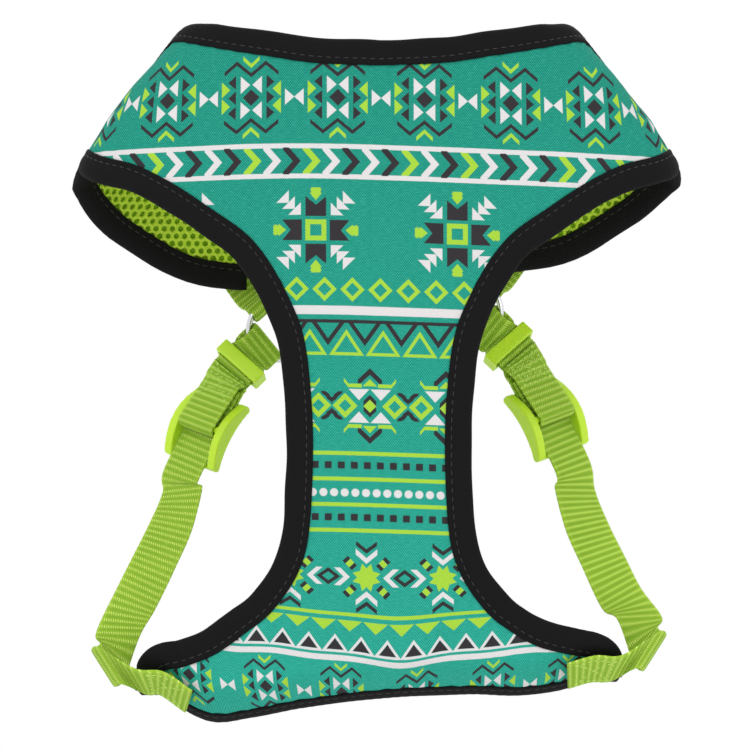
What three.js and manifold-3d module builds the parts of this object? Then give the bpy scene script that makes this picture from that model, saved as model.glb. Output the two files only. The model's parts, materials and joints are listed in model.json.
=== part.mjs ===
// A step-in dog harness, size S: a printed canvas vest with a mesh lining, bound edges, two belly
// straps with sliders and keepers, two steel rings and a side-release buckle behind the shoulders.
// Millimetres. The chest faces -Y, +X is the viewer's right, +Z is up, and the origin is the middle
// of the neck opening. The outlines are drawn for one half and mirrored.
import * as THREE from "three";
import { mergeVertices } from "three/addons/utils/BufferGeometryUtils.js";
import Module from "manifold-3d";

const wasm = await Module();
wasm.setup();

// ---- Driving dimensions ----
const drawn = { width: 222, length: 230, straightDown: 18.5 }; // what the outlines are drawn at
const body = { width: 222, length: 230 }; // the wearer's width, and the vest's length below the neck
const gap = 0.3; // between pieces that touch
const cloth = { shell: 1, lining: 2, apart: 0.5 };
const binding = { width: 9, proud: 0.8 };
const bandCorner = 3; // the armhole binding stops short of the band end's, so the corner is cut back
const webbing = { width: 16, tab: 10, thick: 1.4 };
const ring = { ease: 4.8, wire: 2.2 };
const slider = {
  length: 27,
  rail: 3.4, // width of a side rail
  bar: 2.6,
  ease: 1.2, // wider than the webbing
  travel: 5,
  shoulder: 1.8, // how far the rails' ends rise over the end bars
  arch: 2.6, // how far the rails' feet bow up in the middle
};
const keeper = { length: 5.5, wall: 1.4, ease: 1.2, slack: 0.4 };
const buckle = {
  body: 13, // length of the socket's shell
  wall: 1.5,
  thick: 6.8,
  room: 0.4, // round the tongue and the arms
  ease: 2.4, // the bars are this much longer than the webbing's width
  legThick: 3.6,
  rim: 1.5, // the legs pass the bars by this much
  cheek: 2.1, // wall beside the hollow
  trim: 0.4, // the plug is thinner than the socket by this much on each face
  guide: 5.2, // width of the tongue
  neck: 9.2, // width of the plug where it enters the socket
  plug: 9, // the plug's head reaches this far back
  arm: 3, // width of a latch arm across the thickness
  leg: 2.8,
  bar: 2.6,
  depth: 43, // how far behind the origin the buckle lies
};
const lift = { up: 6.5, in: 3 }; // the right side of the back sits this much higher and nearer

// Level sections of the wearer's form: height, half width, depth in front, depth behind.
const levels = [
  [32, 62, 26, 26],
  [17, 75.5, 30, 30],
  [3, 88, 32, 32],
  [-10, 98, 34, 33],
  [-20, 104, 35, 34],
  [-30, 109, 35.5, 34],
  [-45, 111, 36, 34],
  [-110, 111, 38, 34],
  [-190, 111, 36, 34],
  [-230, 111, 33, 34],
];
const squareness = 2.7; // exponent of the level sections: 2 is an ellipse
const hemCurl = { reach: 12, rate: 0.09 }; // the last stretch above the hem turns back

// Cloth edges. Turn is the angle round the form: 0 at the chest, 90 at the side, 180 at the back.
const neckEdge = [
  [0, 9.3],
  [16, 10.3],
  [29, 13],
  [54, 17.5],
  [72, 18.5],
  [90, 15],
  [110, 5],
  [132, -11],
  [154, -18],
];
const armholeEdge = [
  [17.8, -68],
  [20.2, -60],
  [23.5, -52],
  [28.2, -45],
  [38.4, -33],
  [47, -27],
  [58, -24],
  [75, -21],
  [90, -20.5],
  [100, -23],
  [120, -36],
  [135, -49],
  [145, -58],
  [154, -61],
];
// Half width and height of the chest panel's side, from the armhole down to the corner of the hem.
const sideEdge = [
  [35, -68],
  [27.7, -85],
  [24.7, -105],
  [23.8, -128],
  [25.2, -156],
  [29.3, -171],
  [38.2, -184],
  [47, -191],
  [56, -195.4],
  [67, -198],
  [74.5, -200],
  [78, -203.5],
  [77.5, -207],
];
// The hem from left to right: the left half hangs lower.
const hemEdge = [
  [-96, -212.5],
  [-84, -212],
  [-77.5, -211.5],
  [-70, -217],
  [-59, -221.5],
  [-46, -220],
  [-28, -216.5],
  [0, -213],
  [33, -211.5],
  [50, -212],
  [63, -210.5],
  [77.5, -207],
  [86, -207.3],
  [96, -207.6],
];

// Belly strap, from above the fold up to the slider: across, depth, height, turn of its face.
const strapRoute = [
  [87.1, -3, -181, 8],
  [80.8, 2, -168, 12],
  [75, 9, -155.2, 16],
  [71.2, 17, -142.5, 24],
];
const ringAt = [37, 35, -84];
const keeperWay = { dir: [13.2, -4, -12.8], turn: 25 }; // from the ring, and how far its face turns
const sliderWay = { dir: [13, -6, -23.5], turn: 36 }; // from the keeper
const sliderAt = [63.2, 25, -120.3]; // where that brings the slider at the drawn size
const sliderAxis = [-0.45, 0.18, 0.87]; // up the strap, on the right side of the body

// ---- Small vector helpers ----
const across = body.width / drawn.width;
const down = body.length / drawn.length;
const radians = THREE.MathUtils.degToRad;
const vec = (x, y, z) => new THREE.Vector3(x, y, z);
const cross = (a, b) => a.clone().cross(b).normalize();
const toward = (a, b) => b.clone().sub(a).normalize();

// A point moved along any number of directions: shifted(p, dir, distance, dir, distance...).
function shifted(point, ...moves) {
  const out = point.clone();
  for (let i = 0; i < moves.length; i += 2) out.addScaledVector(moves[i], moves[i + 1]);
  return out;
}

const smooth = (v, low, high) => THREE.MathUtils.smoothstep(v, low, high);

// A smooth curve through [u, value] points in rising order of u.
function through(list, u) {
  const last = list.length - 1;
  let i = list.findIndex((p) => p[0] > u) - 1;
  if (i < 0) i = u < list[0][0] ? 0 : last - 1;
  const [a, b] = [list[i], list[i + 1]];
  const slope = (k) => {
    const [p, q] = [list[Math.max(k - 1, 0)], list[Math.min(k + 1, last)]];
    return (q[1] - p[1]) / (q[0] - p[0]);
  };
  const span = b[0] - a[0];
  const f = (u - a[0]) / span;
  const [f2, f3] = [f * f, f * f * f];
  return (
    a[1] * (2 * f3 - 3 * f2 + 1) +
    slope(i) * span * (f3 - 2 * f2 + f) +
    b[1] * (3 * f2 - 2 * f3) +
    slope(i + 1) * span * (f3 - f2)
  );
}

// ---- The wearer's form ----
const hemAt = (x) => through(hemEdge, x / across) * down;

function levelAt(z) {
  const h = z / down;
  const found = levels.findIndex((l) => l[0] <= h);
  const i = Math.max(found < 0 ? levels.length - 1 : found, 1);
  const [a, b] = [levels[i - 1], levels[i]];
  const f = (a[0] - h) / (a[0] - b[0]);
  return a.map((v, k) => v + (b[k] - v) * f);
}

// The right side of the back, and what hangs from it, sits a little higher.
function settle(p) {
  if (p.x <= 0) return p;
  const f = smooth(p.z / down, -150, -95) * smooth(p.y, 0, 25) * smooth(p.x / across, 0, 30);
  return p.add(vec(-lift.in * f, 0, lift.up * f));
}

function onForm(turn, z) {
  const [s, c] = [Math.sin(radians(turn)), Math.cos(radians(turn))];
  const norm = (Math.abs(s) ** squareness + Math.abs(c) ** squareness) ** (1 / squareness);
  const [, half, front, back] = levelAt(z);
  const p = vec((half * across * s) / norm, (-(c > 0 ? front : back) * c) / norm, z);
  if (c > 0) p.y += hemCurl.rate * Math.max(0, hemCurl.reach - (z - hemAt(p.x))) ** 2;
  return settle(p);
}

// The turn at which the form's front has this x.
function turnOf(x, z) {
  const k = Math.min(Math.abs(x) / (levelAt(z)[1] * across), 0.999);
  const turn = Math.atan2(k, (1 - k ** squareness) ** (1 / squareness));
  return Math.sign(x) * THREE.MathUtils.radToDeg(turn);
}

function normalAt(turn, z) {
  const step = 0.5;
  return cross(
    onForm(turn + step, z).sub(onForm(turn - step, z)),
    onForm(turn, z + step).sub(onForm(turn, z - step)),
  );
}

const lifted = (turn, z, height) => shifted(onForm(turn, z), normalAt(turn, z), height);

// ---- Solids ----
function geometryOf(points, triangles) {
  const volume = triangles.reduce((sum, id, i) => {
    if (i % 3) return sum;
    const [a, b, c] = [id, triangles[i + 1], triangles[i + 2]].map((k) => points[k]);
    return sum + a.dot(b.clone().cross(c));
  }, 0);
  return new THREE.BufferGeometry()
    .setFromPoints(points)
    .setIndex(volume < 0 ? triangles.slice().reverse() : triangles);
}

// A sheet between two copies of a grid of quads, closed along its free edges.
function thicken(outer, inner, quads) {
  const n = outer.length;
  const triangles = [];
  const free = new Map();
  for (const [a, b, c, d] of quads) {
    triangles.push(a, b, c, a, c, d, n + a, n + c, n + b, n + a, n + d, n + c);
    for (const [p, q] of [[a, b], [b, c], [c, d], [d, a]])
      if (!free.delete(q + "_" + p)) free.set(p + "_" + q, [p, q]);
  }
  for (const [p, q] of free.values()) triangles.push(q, p, n + p, q, n + p, n + q);
  return geometryOf([...outer, ...inner], triangles);
}

// A solid through a row of sections that have the same number of points.
function loft(sections, closed = false) {
  const m = sections[0].length;
  const rows = sections.length;
  const triangles = [];
  for (let k = 0; k < (closed ? rows : rows - 1); k++)
    for (let i = 0; i < m; i++) {
      const [here, next] = [k * m, ((k + 1) % rows) * m];
      const j = (i + 1) % m;
      triangles.push(here + i, here + j, next + j, here + i, next + j, next + i);
    }
  const end = (rows - 1) * m;
  for (let i = 1; i < m - 1 && !closed; i++)
    triangles.push(0, i + 1, i, end, end + i, end + i + 1);
  return geometryOf(sections.flat(), triangles);
}

// Webbing through pairs of edge points.
function ribbon(pairs, closed = false) {
  const middle = ([a, b]) => a.clone().add(b).multiplyScalar(0.5);
  const last = pairs.length - 1;
  const at = (k) => (closed ? pairs.at(k % pairs.length) : pairs[Math.min(Math.max(k, 0), last)]);
  const sections = pairs.map(([a, b], k) => {
    const along = toward(middle(at(k - 1)), middle(at(k + 1)));
    const face = cross(toward(a, b), along);
    const half = webbing.thick / 2;
    return [[a, half], [b, half], [b, -half], [a, -half]].map(([p, h]) => shifted(p, face, h));
  });
  return loft(sections, closed);
}

const pairOf = (centre, wide, width) =>
  [-1, 1].map((end) => shifted(centre, wide, (end * width) / 2));

function solidOf(geometry) {
  const g = geometry.clone();
  g.deleteAttribute("normal");
  g.deleteAttribute("uv");
  const merged = mergeVertices(g, 1e-4);
  return new wasm.Manifold(
    new wasm.Mesh({
      numProp: 3,
      vertProperties: merged.attributes.position.array,
      triVerts: new Uint32Array(merged.index.array),
    }),
  );
}

function fromSolid(solid) {
  const { vertProperties, triVerts } = solid.getMesh();
  return new THREE.BufferGeometry()
    .setAttribute("position", new THREE.BufferAttribute(vertProperties, 3))
    .setIndex(new THREE.BufferAttribute(triVerts, 1));
}

function joined(geometries, cuts = []) {
  const whole = geometries.map(solidOf).reduce((a, b) => a.add(b));
  return fromSolid(cuts.map(solidOf).reduce((a, b) => a.subtract(b), whole));
}

// A box between two corners.
function block(low, high) {
  const size = high.map((v, i) => v - low[i]);
  const mid = high.map((v, i) => (v + low[i]) / 2);
  return new THREE.BoxGeometry(...size).translate(...mid);
}

// A round bar along X or Z, centred on a point.
function bar(radius, length, centre, axis) {
  const g = new THREE.CylinderGeometry(radius, radius, length, 12);
  if (axis === "x") g.rotateZ(Math.PI / 2);
  else g.rotateX(Math.PI / 2);
  return g.translate(...centre);
}

// ---- The vest ----
const stack = cloth.shell + cloth.apart + cloth.lining;
const grid = { stem: 12, arm: 16, upper: 4, lower: 18 };
const columns = 2 * grid.arm + grid.stem;
const neckStem = 22; // turn at which the collar leaves the chest panel
const bandEnd = neckEdge.at(-1)[0];
const sideCurve = new THREE.SplineCurve(sideEdge.map(([x, z]) => new THREE.Vector2(x * across, z * down)));
const cornerHeight = sideEdge.at(-1)[1] * down;

const armTurn = (start, f) => start + (bandEnd - start) * f ** 1.5;
const neckHeight = (turn) => through(neckEdge, Math.abs(turn)) * down;
const armholeHeight = (turn) => through(armholeEdge, Math.abs(turn)) * down;

// Turn and height of a point of the collar: column runs from one band end to the other.
function collarPoint(column, row) {
  const k = column - grid.arm - grid.stem / 2;
  const side = Math.sign(k);
  const beyond = Math.max(0, Math.abs(k) - grid.stem / 2) / grid.arm;
  const inside = Math.min(1, Math.abs(k) / (grid.stem / 2));
  const top = side * (beyond > 0 ? armTurn(neckStem, beyond) : neckStem * inside);
  const start = armholeEdge[0][0];
  const [stemHalf, stemTop] = [sideEdge[0][0] * across, sideEdge[0][1] * down];
  const foot = side * (beyond > 0 ? armTurn(start, beyond) : turnOf(inside * stemHalf, stemTop));
  const footHeight = armholeHeight(Math.max(Math.abs(foot), start));
  const f = row / grid.upper;
  return [top + (foot - top) * f, neckHeight(top) + (footHeight - neckHeight(top)) * f];
}

// The same for the chest and belly panel below the collar.
function panelPoint(column, row) {
  const f = row / grid.lower;
  const edge = sideCurve.getPoint(f);
  const x = edge.x * (column / (grid.stem / 2) - 1);
  const z = edge.y + (hemAt(x) - cornerHeight) * smooth(f, 0.55, 1);
  return [turnOf(x, z), z];
}

function vestGrid() {
  const places = [];
  const quads = [];
  const collarId = (c, r) => r * (columns + 1) + c;
  for (let r = 0; r <= grid.upper; r++)
    for (let c = 0; c <= columns; c++) places.push(collarPoint(c, r));
  const start = places.length;
  const panelId = (c, r) => (r ? start + (r - 1) * (grid.stem + 1) + c : collarId(grid.arm + c, grid.upper));
  for (let r = 1; r <= grid.lower; r++)
    for (let c = 0; c <= grid.stem; c++) places.push(panelPoint(c, r));
  const cells = (id, wide, high) => {
    for (let r = 0; r < high; r++)
      for (let c = 0; c < wide; c++)
        quads.push([id(c, r + 1), id(c + 1, r + 1), id(c + 1, r), id(c, r)]);
  };
  cells(collarId, columns, grid.upper);
  cells(panelId, grid.stem, grid.lower);
  return { places, quads };
}

const vest = vestGrid();

function layer(top, bottom) {
  const at = (inset) => vest.places.map(([turn, z]) => lifted(turn, z, -inset));
  return thicken(at(top), at(bottom), vest.quads);
}

// Binding along an edge of the cloth. Side 1 lies to the right of the way the edge runs, seen
// from outside.
function strip(edge, side) {
  const sections = edge.map(([turn, z], k) => {
    const [before, after] = [edge[Math.max(k - 1, 0)], edge[Math.min(k + 1, edge.length - 1)]];
    const face = normalAt(turn, z);
    const out = cross(toward(onForm(...before), onForm(...after)), face).multiplyScalar(side);
    const corner = (reach, height) => shifted(onForm(turn, z), out, reach, face, height);
    const low = -stack - binding.proud;
    return [
      corner(gap, binding.proud),
      corner(binding.width, binding.proud),
      corner(binding.width, low),
      corner(2 * gap, low),
    ];
  });
  return loft(sections);
}

const steps = (count, f) => Array.from({ length: count + 1 }, (_, i) => f(i / count));
const degreesOf = (length, z) => THREE.MathUtils.radToDeg(length / (levelAt(z)[1] * across));

// The point past a band end to which an edge's binding runs.
function cornerOf(side, height, reach) {
  const turn = bandEnd + degreesOf(reach, height(bandEnd));
  return [side * turn, height(bandEnd)];
}

function neckBinding() {
  const edge = steps(columns, (f) => collarPoint(Math.round(f * columns), 0));
  const [left, right] = [-1, 1].map((side) => cornerOf(side, neckHeight, binding.width));
  return strip([left, ...edge, right], -1);
}

function legBinding(side) {
  const [panelEdge, collarEdge] = side > 0 ? [grid.stem, columns] : [0, 0];
  const low = steps(grid.lower, (f) => panelPoint(panelEdge, Math.round((1 - f) * grid.lower)));
  const high = steps(grid.arm, (f) => {
    const column = collarEdge - side * Math.round((1 - f) * grid.arm);
    return collarPoint(column, grid.upper);
  });
  return strip([...low, ...high.slice(1), cornerOf(side, armholeHeight, bandCorner)], side);
}

function hemBinding() {
  const edge = steps(grid.stem, (f) => panelPoint(Math.round(f * grid.stem), grid.lower));
  const past = [-1, 1].map((side) => {
    const x = side * (sideEdge.at(-1)[0] + binding.width) * across;
    return [turnOf(x, hemAt(x)), hemAt(x)];
  });
  return strip([past[0], ...edge, past[1]], 1);
}

function bandEndBinding(side) {
  const slack = 2; // the neighbouring bindings slope across the corners
  const [top, bottom] = [neckHeight(bandEnd) - slack, armholeHeight(bandEnd)];
  return strip(steps(4, (f) => [side * bandEnd, top + (bottom - top) * f]), -side);
}

// ---- Places of the hardware on one side ----
const place = (side, [x, y, z]) => settle(vec(side * x * across, y, z * down));

// A frame at a point: d runs down the strap, n is its face's outward normal, w its width.
function strapFrame(side, origin, d, turn) {
  const face = vec(side * Math.sin(radians(turn)), -Math.cos(radians(turn)), 0);
  const n = face.addScaledVector(d, -face.dot(d)).normalize();
  return { origin, d, n, w: cross(n, d) };
}

const ringMean = (webbing.width + ring.ease + ring.wire) / 2;
const keeperLead = keeper.length / 2 + 0.45; // straight strap above the keeper's middle
const keeperTail = keeper.length / 2 + 2.3;
const straightUp = slider.length / 2 + 3;
const straightDown = slider.length / 2 + slider.travel;
const loopLead = 4.117; // webbing between the ring's wire and the straight stretch at the keeper
const bridgeLength = 5.968; // webbing between the straight stretches at the keeper and the slider
const ply = ring.wire / 2 + gap + webbing.thick / 2; // centre of webbing that lies on a ring
const plyStep = webbing.thick + 0.6; // between two plies that lie on each other
const barReach = buckle.body + buckle.bar / 2 + webbing.thick + 2 * gap + 1.5;

const rings = { left: place(-1, ringAt), right: place(1, ringAt) };
const buckleMid = rings.left.clone().add(rings.right).multiplyScalar(0.5).setY(buckle.depth);
const buckleX = rings.right.clone().sub(rings.left).setY(0).normalize();
const buckleFrame = new THREE.Matrix4()
  .makeBasis(buckleX, vec(0, 1, 0), cross(buckleX, vec(0, 1, 0)))
  .setPosition(buckleMid);
const buckleZ = cross(buckleX, vec(0, 1, 0));

// A point reached from the ring by fixed lengths of webbing, whatever the wearer's size.
function hungPoint(side, ...runs) {
  const at = vec(ringAt[0] * across, ringAt[1], ringAt[2] * down);
  for (const [dir, reach] of runs) at.addScaledVector(vec(...dir).normalize(), reach);
  return settle(vec(side * at.x, at.y, at.z));
}

function hardware(side) {
  const centre = side < 0 ? rings.left : rings.right;
  const toKeeperPoint = [keeperWay.dir, ringMean + keeperLead + loopLead];
  const toSliderPoint = [sliderWay.dir, keeperTail + straightUp + bridgeLength];
  const keeperPoint = hungPoint(side, toKeeperPoint);
  const sliderPoint = hungPoint(side, toKeeperPoint, toSliderPoint);
  const buckleBar = shifted(buckleMid, buckleX, side * barReach);
  const upStrap = vec(side * sliderAxis[0], sliderAxis[1], sliderAxis[2]).normalize();
  const toKeeper = toward(centre, keeperPoint);
  const toBuckle = toward(centre, buckleBar);
  const axis = cross(toKeeper, toBuckle);
  if (axis.y < 0) axis.negate();
  return {
    side,
    ring: { centre, axis, toKeeper, toBuckle },
    keeper: strapFrame(side, keeperPoint, toKeeper, keeperWay.turn),
    slider: strapFrame(side, sliderPoint, upStrap.negate(), sliderWay.turn),
    buckleBar,
  };
}

const tabRoom = 10; // degrees of ring between the neck tab and the belly strap
const returnBow = 0.5; // the sewn end bows this much off the strap under it
const tabEase = { front: 1.6, back: 0.8 }; // sewn webbing stands this much off the bindings it crosses

// The frame a share of the way from the keeper's tail to the straight stretch at the slider.
function bridgeFrame(h, share) {
  const tail = shifted(h.keeper.origin, h.keeper.d, keeperTail);
  const top = shifted(h.slider.origin, h.slider.d, -straightUp);
  const d = h.keeper.d.clone().lerp(h.slider.d, share).normalize();
  const n = h.keeper.n.clone().lerp(h.slider.n, share);
  n.addScaledVector(d, -n.dot(d)).normalize();
  return { origin: tail.lerp(top, share), d, n, w: cross(n, d) };
}

const bridge = [0.25, 0.5, 0.75];

// ---- Webbing ----
// Webbing round a ring's wire, from its rear ply over the inside to its front ply.
function ringTurn({ centre, axis }, out, width) {
  const clear = ringMean - ring.wire / 2 - gap;
  const chord = Math.sqrt(clear ** 2 - (width / 2) ** 2);
  const reach = chord + ply - webbing.thick / 2;
  const wide = cross(out, axis);
  const free = ringMean + ring.wire / 2 + gap;
  const pair = (radial, height) => pairOf(shifted(centre, out, radial, axis, height), wide, width);
  const bend = steps(6, (f) => Math.PI * f).map((a) => pair(reach - ply * Math.sin(a), ply * Math.cos(a)));
  return [pair(free, ply), ...bend, pair(free, -ply)];
}

// The tab on the vest's front, the fold beside the hem's corner and the stretch up to the slider.
function lowerStrap(h) {
  const { side } = h;
  const width = webbing.width;
  const ordered = (outer, inner) => (side > 0 ? [inner, outer] : [outer, inner]);
  const high = binding.proud + gap + webbing.thick / 2 + tabEase.front;
  const tab = [66, 75, 84].map((x) => {
    const [here, back] = [x, x + 4].map((u) => {
      const z = hemAt(side * u * across) + 5;
      return [turnOf(side * u * across, z), z];
    });
    const face = normalAt(...here);
    const up = cross(face, toward(onForm(...back), onForm(...here)));
    if (up.z < 0) up.negate();
    const c = lifted(...here, high);
    return ordered(shifted(c, up, width / 2), shifted(c, up, -width / 2));
  });
  const hem = hemAt(side * 75 * across);
  const fold = [
    [[99.5, -23, 15.5], [91, -27.5, 2.5]],
    [[102.2, -18, 14.5], [93.6, -20.5, 1.3]],
    [[99.5, -13, 16.5], [91, -12, 3.5]],
    [[101.3, -9.5, 20], [85.4, -8, 19]],
  ].map((ends) => {
    const [outer, inner] = ends.map(([x, y, z]) => vec(side * x * across, y, hem + z));
    return ordered(outer, inner);
  });
  const below = fold.at(-1)[0].clone().add(fold.at(-1)[1]).multiplyScalar(0.5);
  const above = shifted(h.slider.origin, h.slider.d, straightDown);
  const drawnAbove = shifted(place(side, sliderAt), h.slider.d, drawn.straightDown);
  const moved = above.clone().sub(drawnAbove);
  const route = strapRoute.map((p, i) => ({
    point: shifted(place(side, p), moved, (i + 1) / (strapRoute.length + 1)),
    turn: p[3],
  }));
  const climb = route.map(({ point, turn }, i) => {
    const before = i ? route[i - 1].point : below;
    const after = i < route.length - 1 ? route[i + 1].point : above;
    return pairOf(point, strapFrame(side, point, toward(after, before), turn).w, width);
  });
  return [...tab, ...fold, ...climb];
}

const stationOn = (f, run, height, width) =>
  pairOf(shifted(f.origin, f.d, run, f.n, height), f.w, width);

function bellyStrap(h) {
  const width = webbing.width;
  const half = plyStep / 2;
  const turn = ringTurn(h.ring, h.ring.toKeeper, width);
  const sameWay = ([a, b]) => (h.keeper.w.dot(toward(a, b)) < 0 ? [b, a] : [a, b]);
  return ribbon([
    ...lowerStrap(h),
    stationOn(h.slider, straightDown, 0, width),
    stationOn(h.slider, -straightUp, 0, width),
    ...bridge.toReversed().map((s) => stationOn(bridgeFrame(h, s), 0, -half * (1 - s), width)),
    stationOn(h.keeper, keeperTail, -half, width),
    stationOn(h.keeper, -keeperLead, -half, width),
    ...turn.map(sameWay),
    stationOn(h.keeper, -keeperLead, half, width),
    stationOn(h.keeper, keeperTail, half, width),
  ]);
}

// The strap's sewn end: down the front from the keeper, round the slider's middle bar and up behind.
function strapReturn(h) {
  const width = webbing.width;
  const round = slider.bar / 2 + gap + webbing.thick / 2;
  const middle = plyStep + round;
  const half = plyStep / 2;
  const bend = steps(6, (f) => Math.PI * f).map((a) =>
    stationOn(h.slider, round * Math.sin(a), middle + round * Math.cos(a), width),
  );
  return ribbon([
    stationOn(h.keeper, keeperTail + 2 * gap, half + gap, width),
    ...bridge.map((s) => {
      const height = half + gap + (2 * plyStep - half) * s + returnBow * Math.sin(Math.PI * s);
      return stationOn(bridgeFrame(h, s), 0, height, width);
    }),
    stationOn(h.slider, -straightUp, 2 * plyStep, width),
    ...bend,
    stationOn(h.slider, -straightUp, plyStep, width),
  ]);
}

// The tab slides round the ring until the belly strap leaves it room.
function seatBeside(out, toKeeper, width) {
  const clear = ringMean - ring.wire / 2 - gap;
  const [tab, strap] = [width, webbing.width].map((w) => Math.asin(w / 2 / clear));
  const angle = Math.max(out.angleTo(toKeeper), tab + strap + radians(tabRoom));
  const aside = out.clone().addScaledVector(toKeeper, -out.dot(toKeeper)).normalize();
  out.copy(toKeeper).multiplyScalar(Math.cos(angle)).addScaledVector(aside, Math.sin(angle));
}

function neckTab(h) {
  const { side } = h;
  const { centre, axis } = h.ring;
  const width = webbing.tab;
  const sewn = [149, -52];
  const edge = [155.5, -71];
  const low = binding.proud + gap + webbing.thick / 2 + tabEase.back;
  const out = toward(centre, lifted(side * edge[0], edge[1] * down, low));
  out.addScaledVector(axis, -out.dot(axis)).normalize();
  seatBeside(out, h.ring.toKeeper, width);
  const on = ([turn, z], height) => {
    const c = lifted(side * turn, z * down, height);
    return pairOf(c, cross(out, normalAt(side * turn, z * down)), width);
  };
  return ribbon([
    on(sewn, low + plyStep),
    on(edge, low + plyStep),
    ...ringTurn(h.ring, out, width),
    on(edge, low),
    on(sewn, low),
  ]);
}

// A short closed loop between a ring and the buckle's bar.
function buckleStrap(h) {
  const { ring: r, buckleBar } = h;
  const width = webbing.width;
  const turn = ringTurn(r, r.toBuckle, width);
  const wide = buckleZ.clone().multiplyScalar(Math.sign(buckleZ.dot(toward(...turn[0]))));
  const away = r.toBuckle.clone().addScaledVector(wide, -r.toBuckle.dot(wide)).normalize();
  const face = cross(wide, away);
  face.multiplyScalar(Math.sign(face.y));
  const round = buckle.bar / 2 + gap + webbing.thick / 2;
  const bend = steps(6, (f) => Math.PI * f).map((a) =>
    pairOf(shifted(buckleBar, away, round * Math.sin(a), face, -round * Math.cos(a)), wide, width),
  );
  return ribbon([...turn, ...bend], true);
}

// ---- Hardware, each in its own frame ----
function sliderShape() {
  const radius = slider.bar / 2;
  const low = -(webbing.thick / 2 + gap + radius);
  const rise = plyStep + radius + gap + webbing.thick / 2 - low;
  const end = slider.length / 2 - radius;
  const inside = webbing.width + slider.ease;
  const bowed = (foot, height) => (z) => foot + height * (1 - (z / end) ** 2);
  const barHeight = bowed(low, rise);
  const crown = bowed(low + radius + slider.shoulder, rise - slider.shoulder);
  const foot = bowed(low - radius, slider.arch);
  const side = (edge) => steps(12, (f) => end * (2 * f - 1)).map((z) => new THREE.Vector2(z, edge(z)));
  const cap = (sign) => {
    const [top, bottom] = [crown(end), foot(end)];
    const half = (top - bottom) / 2;
    const angles = steps(6, (f) => Math.PI * f).slice(1, -1);
    const points = angles.map(
      (a) => new THREE.Vector2(sign * (end + radius * Math.sin(a)), bottom + half * (1 + Math.cos(a))),
    );
    return sign > 0 ? points : points.reverse();
  };
  const outline = new THREE.Shape([...side(crown), ...cap(1), ...side(foot).reverse(), ...cap(-1)]);
  const upright = new THREE.Matrix4().makeBasis(vec(0, 0, 1), vec(0, 1, 0), vec(-1, 0, 0));
  const rails = [-1, 1].map((s) =>
    new THREE.ExtrudeGeometry(outline, { depth: slider.rail, bevelEnabled: false })
      .applyMatrix4(upright)
      .translate((s * (inside + slider.rail)) / 2 + slider.rail / 2, 0, 0),
  );
  const bars = [-end, 0, end].map((z) => bar(radius, inside + slider.rail, [0, barHeight(z), z], "x"));
  return joined([...rails, ...bars]);
}

function keeperShape() {
  const [x, y] = [webbing.width + keeper.ease, plyStep + webbing.thick + 2 * keeper.slack];
  const [z, wall] = [keeper.length / 2, keeper.wall];
  const shell = block([-x / 2 - wall, -y / 2 - wall, -z], [x / 2 + wall, y / 2 + wall, z]);
  return joined([shell], [block([-x / 2, -y / 2, -z - 1], [x / 2, y / 2, z + 1])]);
}

// The buckle runs along X; its bars and arms lie across, along Z.
const inner = (webbing.width + buckle.ease) / 2;
const half = { width: inner + buckle.leg, thick: buckle.thick / 2 };
const cavity = { wide: half.width - buckle.cheek, thick: buckle.arm / 2 + buckle.room };
const sideWindow = { from: 2.6, to: buckle.body - 2.4 };
const armRoot = -3.5;

// A block the same on both sides of the buckle's middle, in thickness and in width.
const slab = (from, to, thick, wide) => block([from, -thick, -wide], [to, thick, wide]);

// Two legs and the bar that webbing turns round, on the side that sign gives.
function barEnd(sign, from) {
  const x = [from, barReach + buckle.rim].map((v) => v * sign).sort((a, b) => a - b);
  const legs = [-1, 1].map((s) => {
    const z = [inner, half.width].map((v) => v * s).sort((a, b) => a - b);
    return block([x[0], -buckle.legThick / 2, z[0]], [x[1], buckle.legThick / 2, z[1]]);
  });
  const length = 2 * inner + buckle.leg;
  return [...legs, bar(buckle.bar / 2, length, [sign * barReach, 0, 0], "z")];
}

function socketShape() {
  const shell = slab(0, buckle.body, half.thick, half.width);
  const hollow = slab(-1, buckle.body - buckle.wall, cavity.thick, cavity.wide);
  const side = slab(sideWindow.from, sideWindow.to, cavity.thick, half.width + 1);
  return joined([shell, ...barEnd(1, buckle.body - 0.5)], [hollow, side]);
}

function plugShape() {
  const tongue = buckle.body - buckle.wall - 2 * gap;
  const thick = half.thick - buckle.trim;
  const base = slab(-buckle.plug, armRoot - 2 * gap, thick, half.width);
  const neck = slab(armRoot - 1, -2 * gap, thick, buckle.neck / 2);
  const guide = slab(-1, tongue, buckle.arm / 2, buckle.guide / 2);
  return joined([base, neck, guide, ...barEnd(-1, buckle.plug - 0.5)]);
}

// A latch arm above the tongue; its pad stands in the socket's side window.
function armShape(sign) {
  const [low, high] = [6.4, cavity.wide - buckle.room - 0.1];
  const pad = half.width + 0.4;
  const end = sideWindow.to - 0.9;
  const outline = new THREE.Shape(
    [
      [armRoot, low],
      [armRoot, high],
      [sideWindow.from + 0.3, high],
      [sideWindow.from + 0.7, pad],
      [end - 1.2, pad - 0.6],
      [end, high - 0.6],
      [end - 0.8, low + 0.5],
      [2.5, low + 0.6],
    ].map(([x, z]) => new THREE.Vector2(x, z)),
  );
  const arm = new THREE.ExtrudeGeometry(outline, { depth: buckle.arm, bevelEnabled: false });
  arm.rotateX(Math.PI / 2).translate(0, buckle.arm / 2, 0);
  return sign > 0 ? arm : arm.rotateX(Math.PI);
}

// ---- Assembly ----
const paint = (color, roughness, metalness = 0) =>
  new THREE.MeshStandardMaterial({ color, roughness, metalness });
const looks = {
  canvas: paint(0x2a9c84, 0.85),
  mesh: paint(0xa5d03c, 0.9),
  tape: paint(0x19191b, 0.85),
  webbing: paint(0x96be3c, 0.8),
  plastic: paint(0xb9e13c, 0.4),
  steel: paint(0xc8cacc, 0.2, 1),
};

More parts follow.
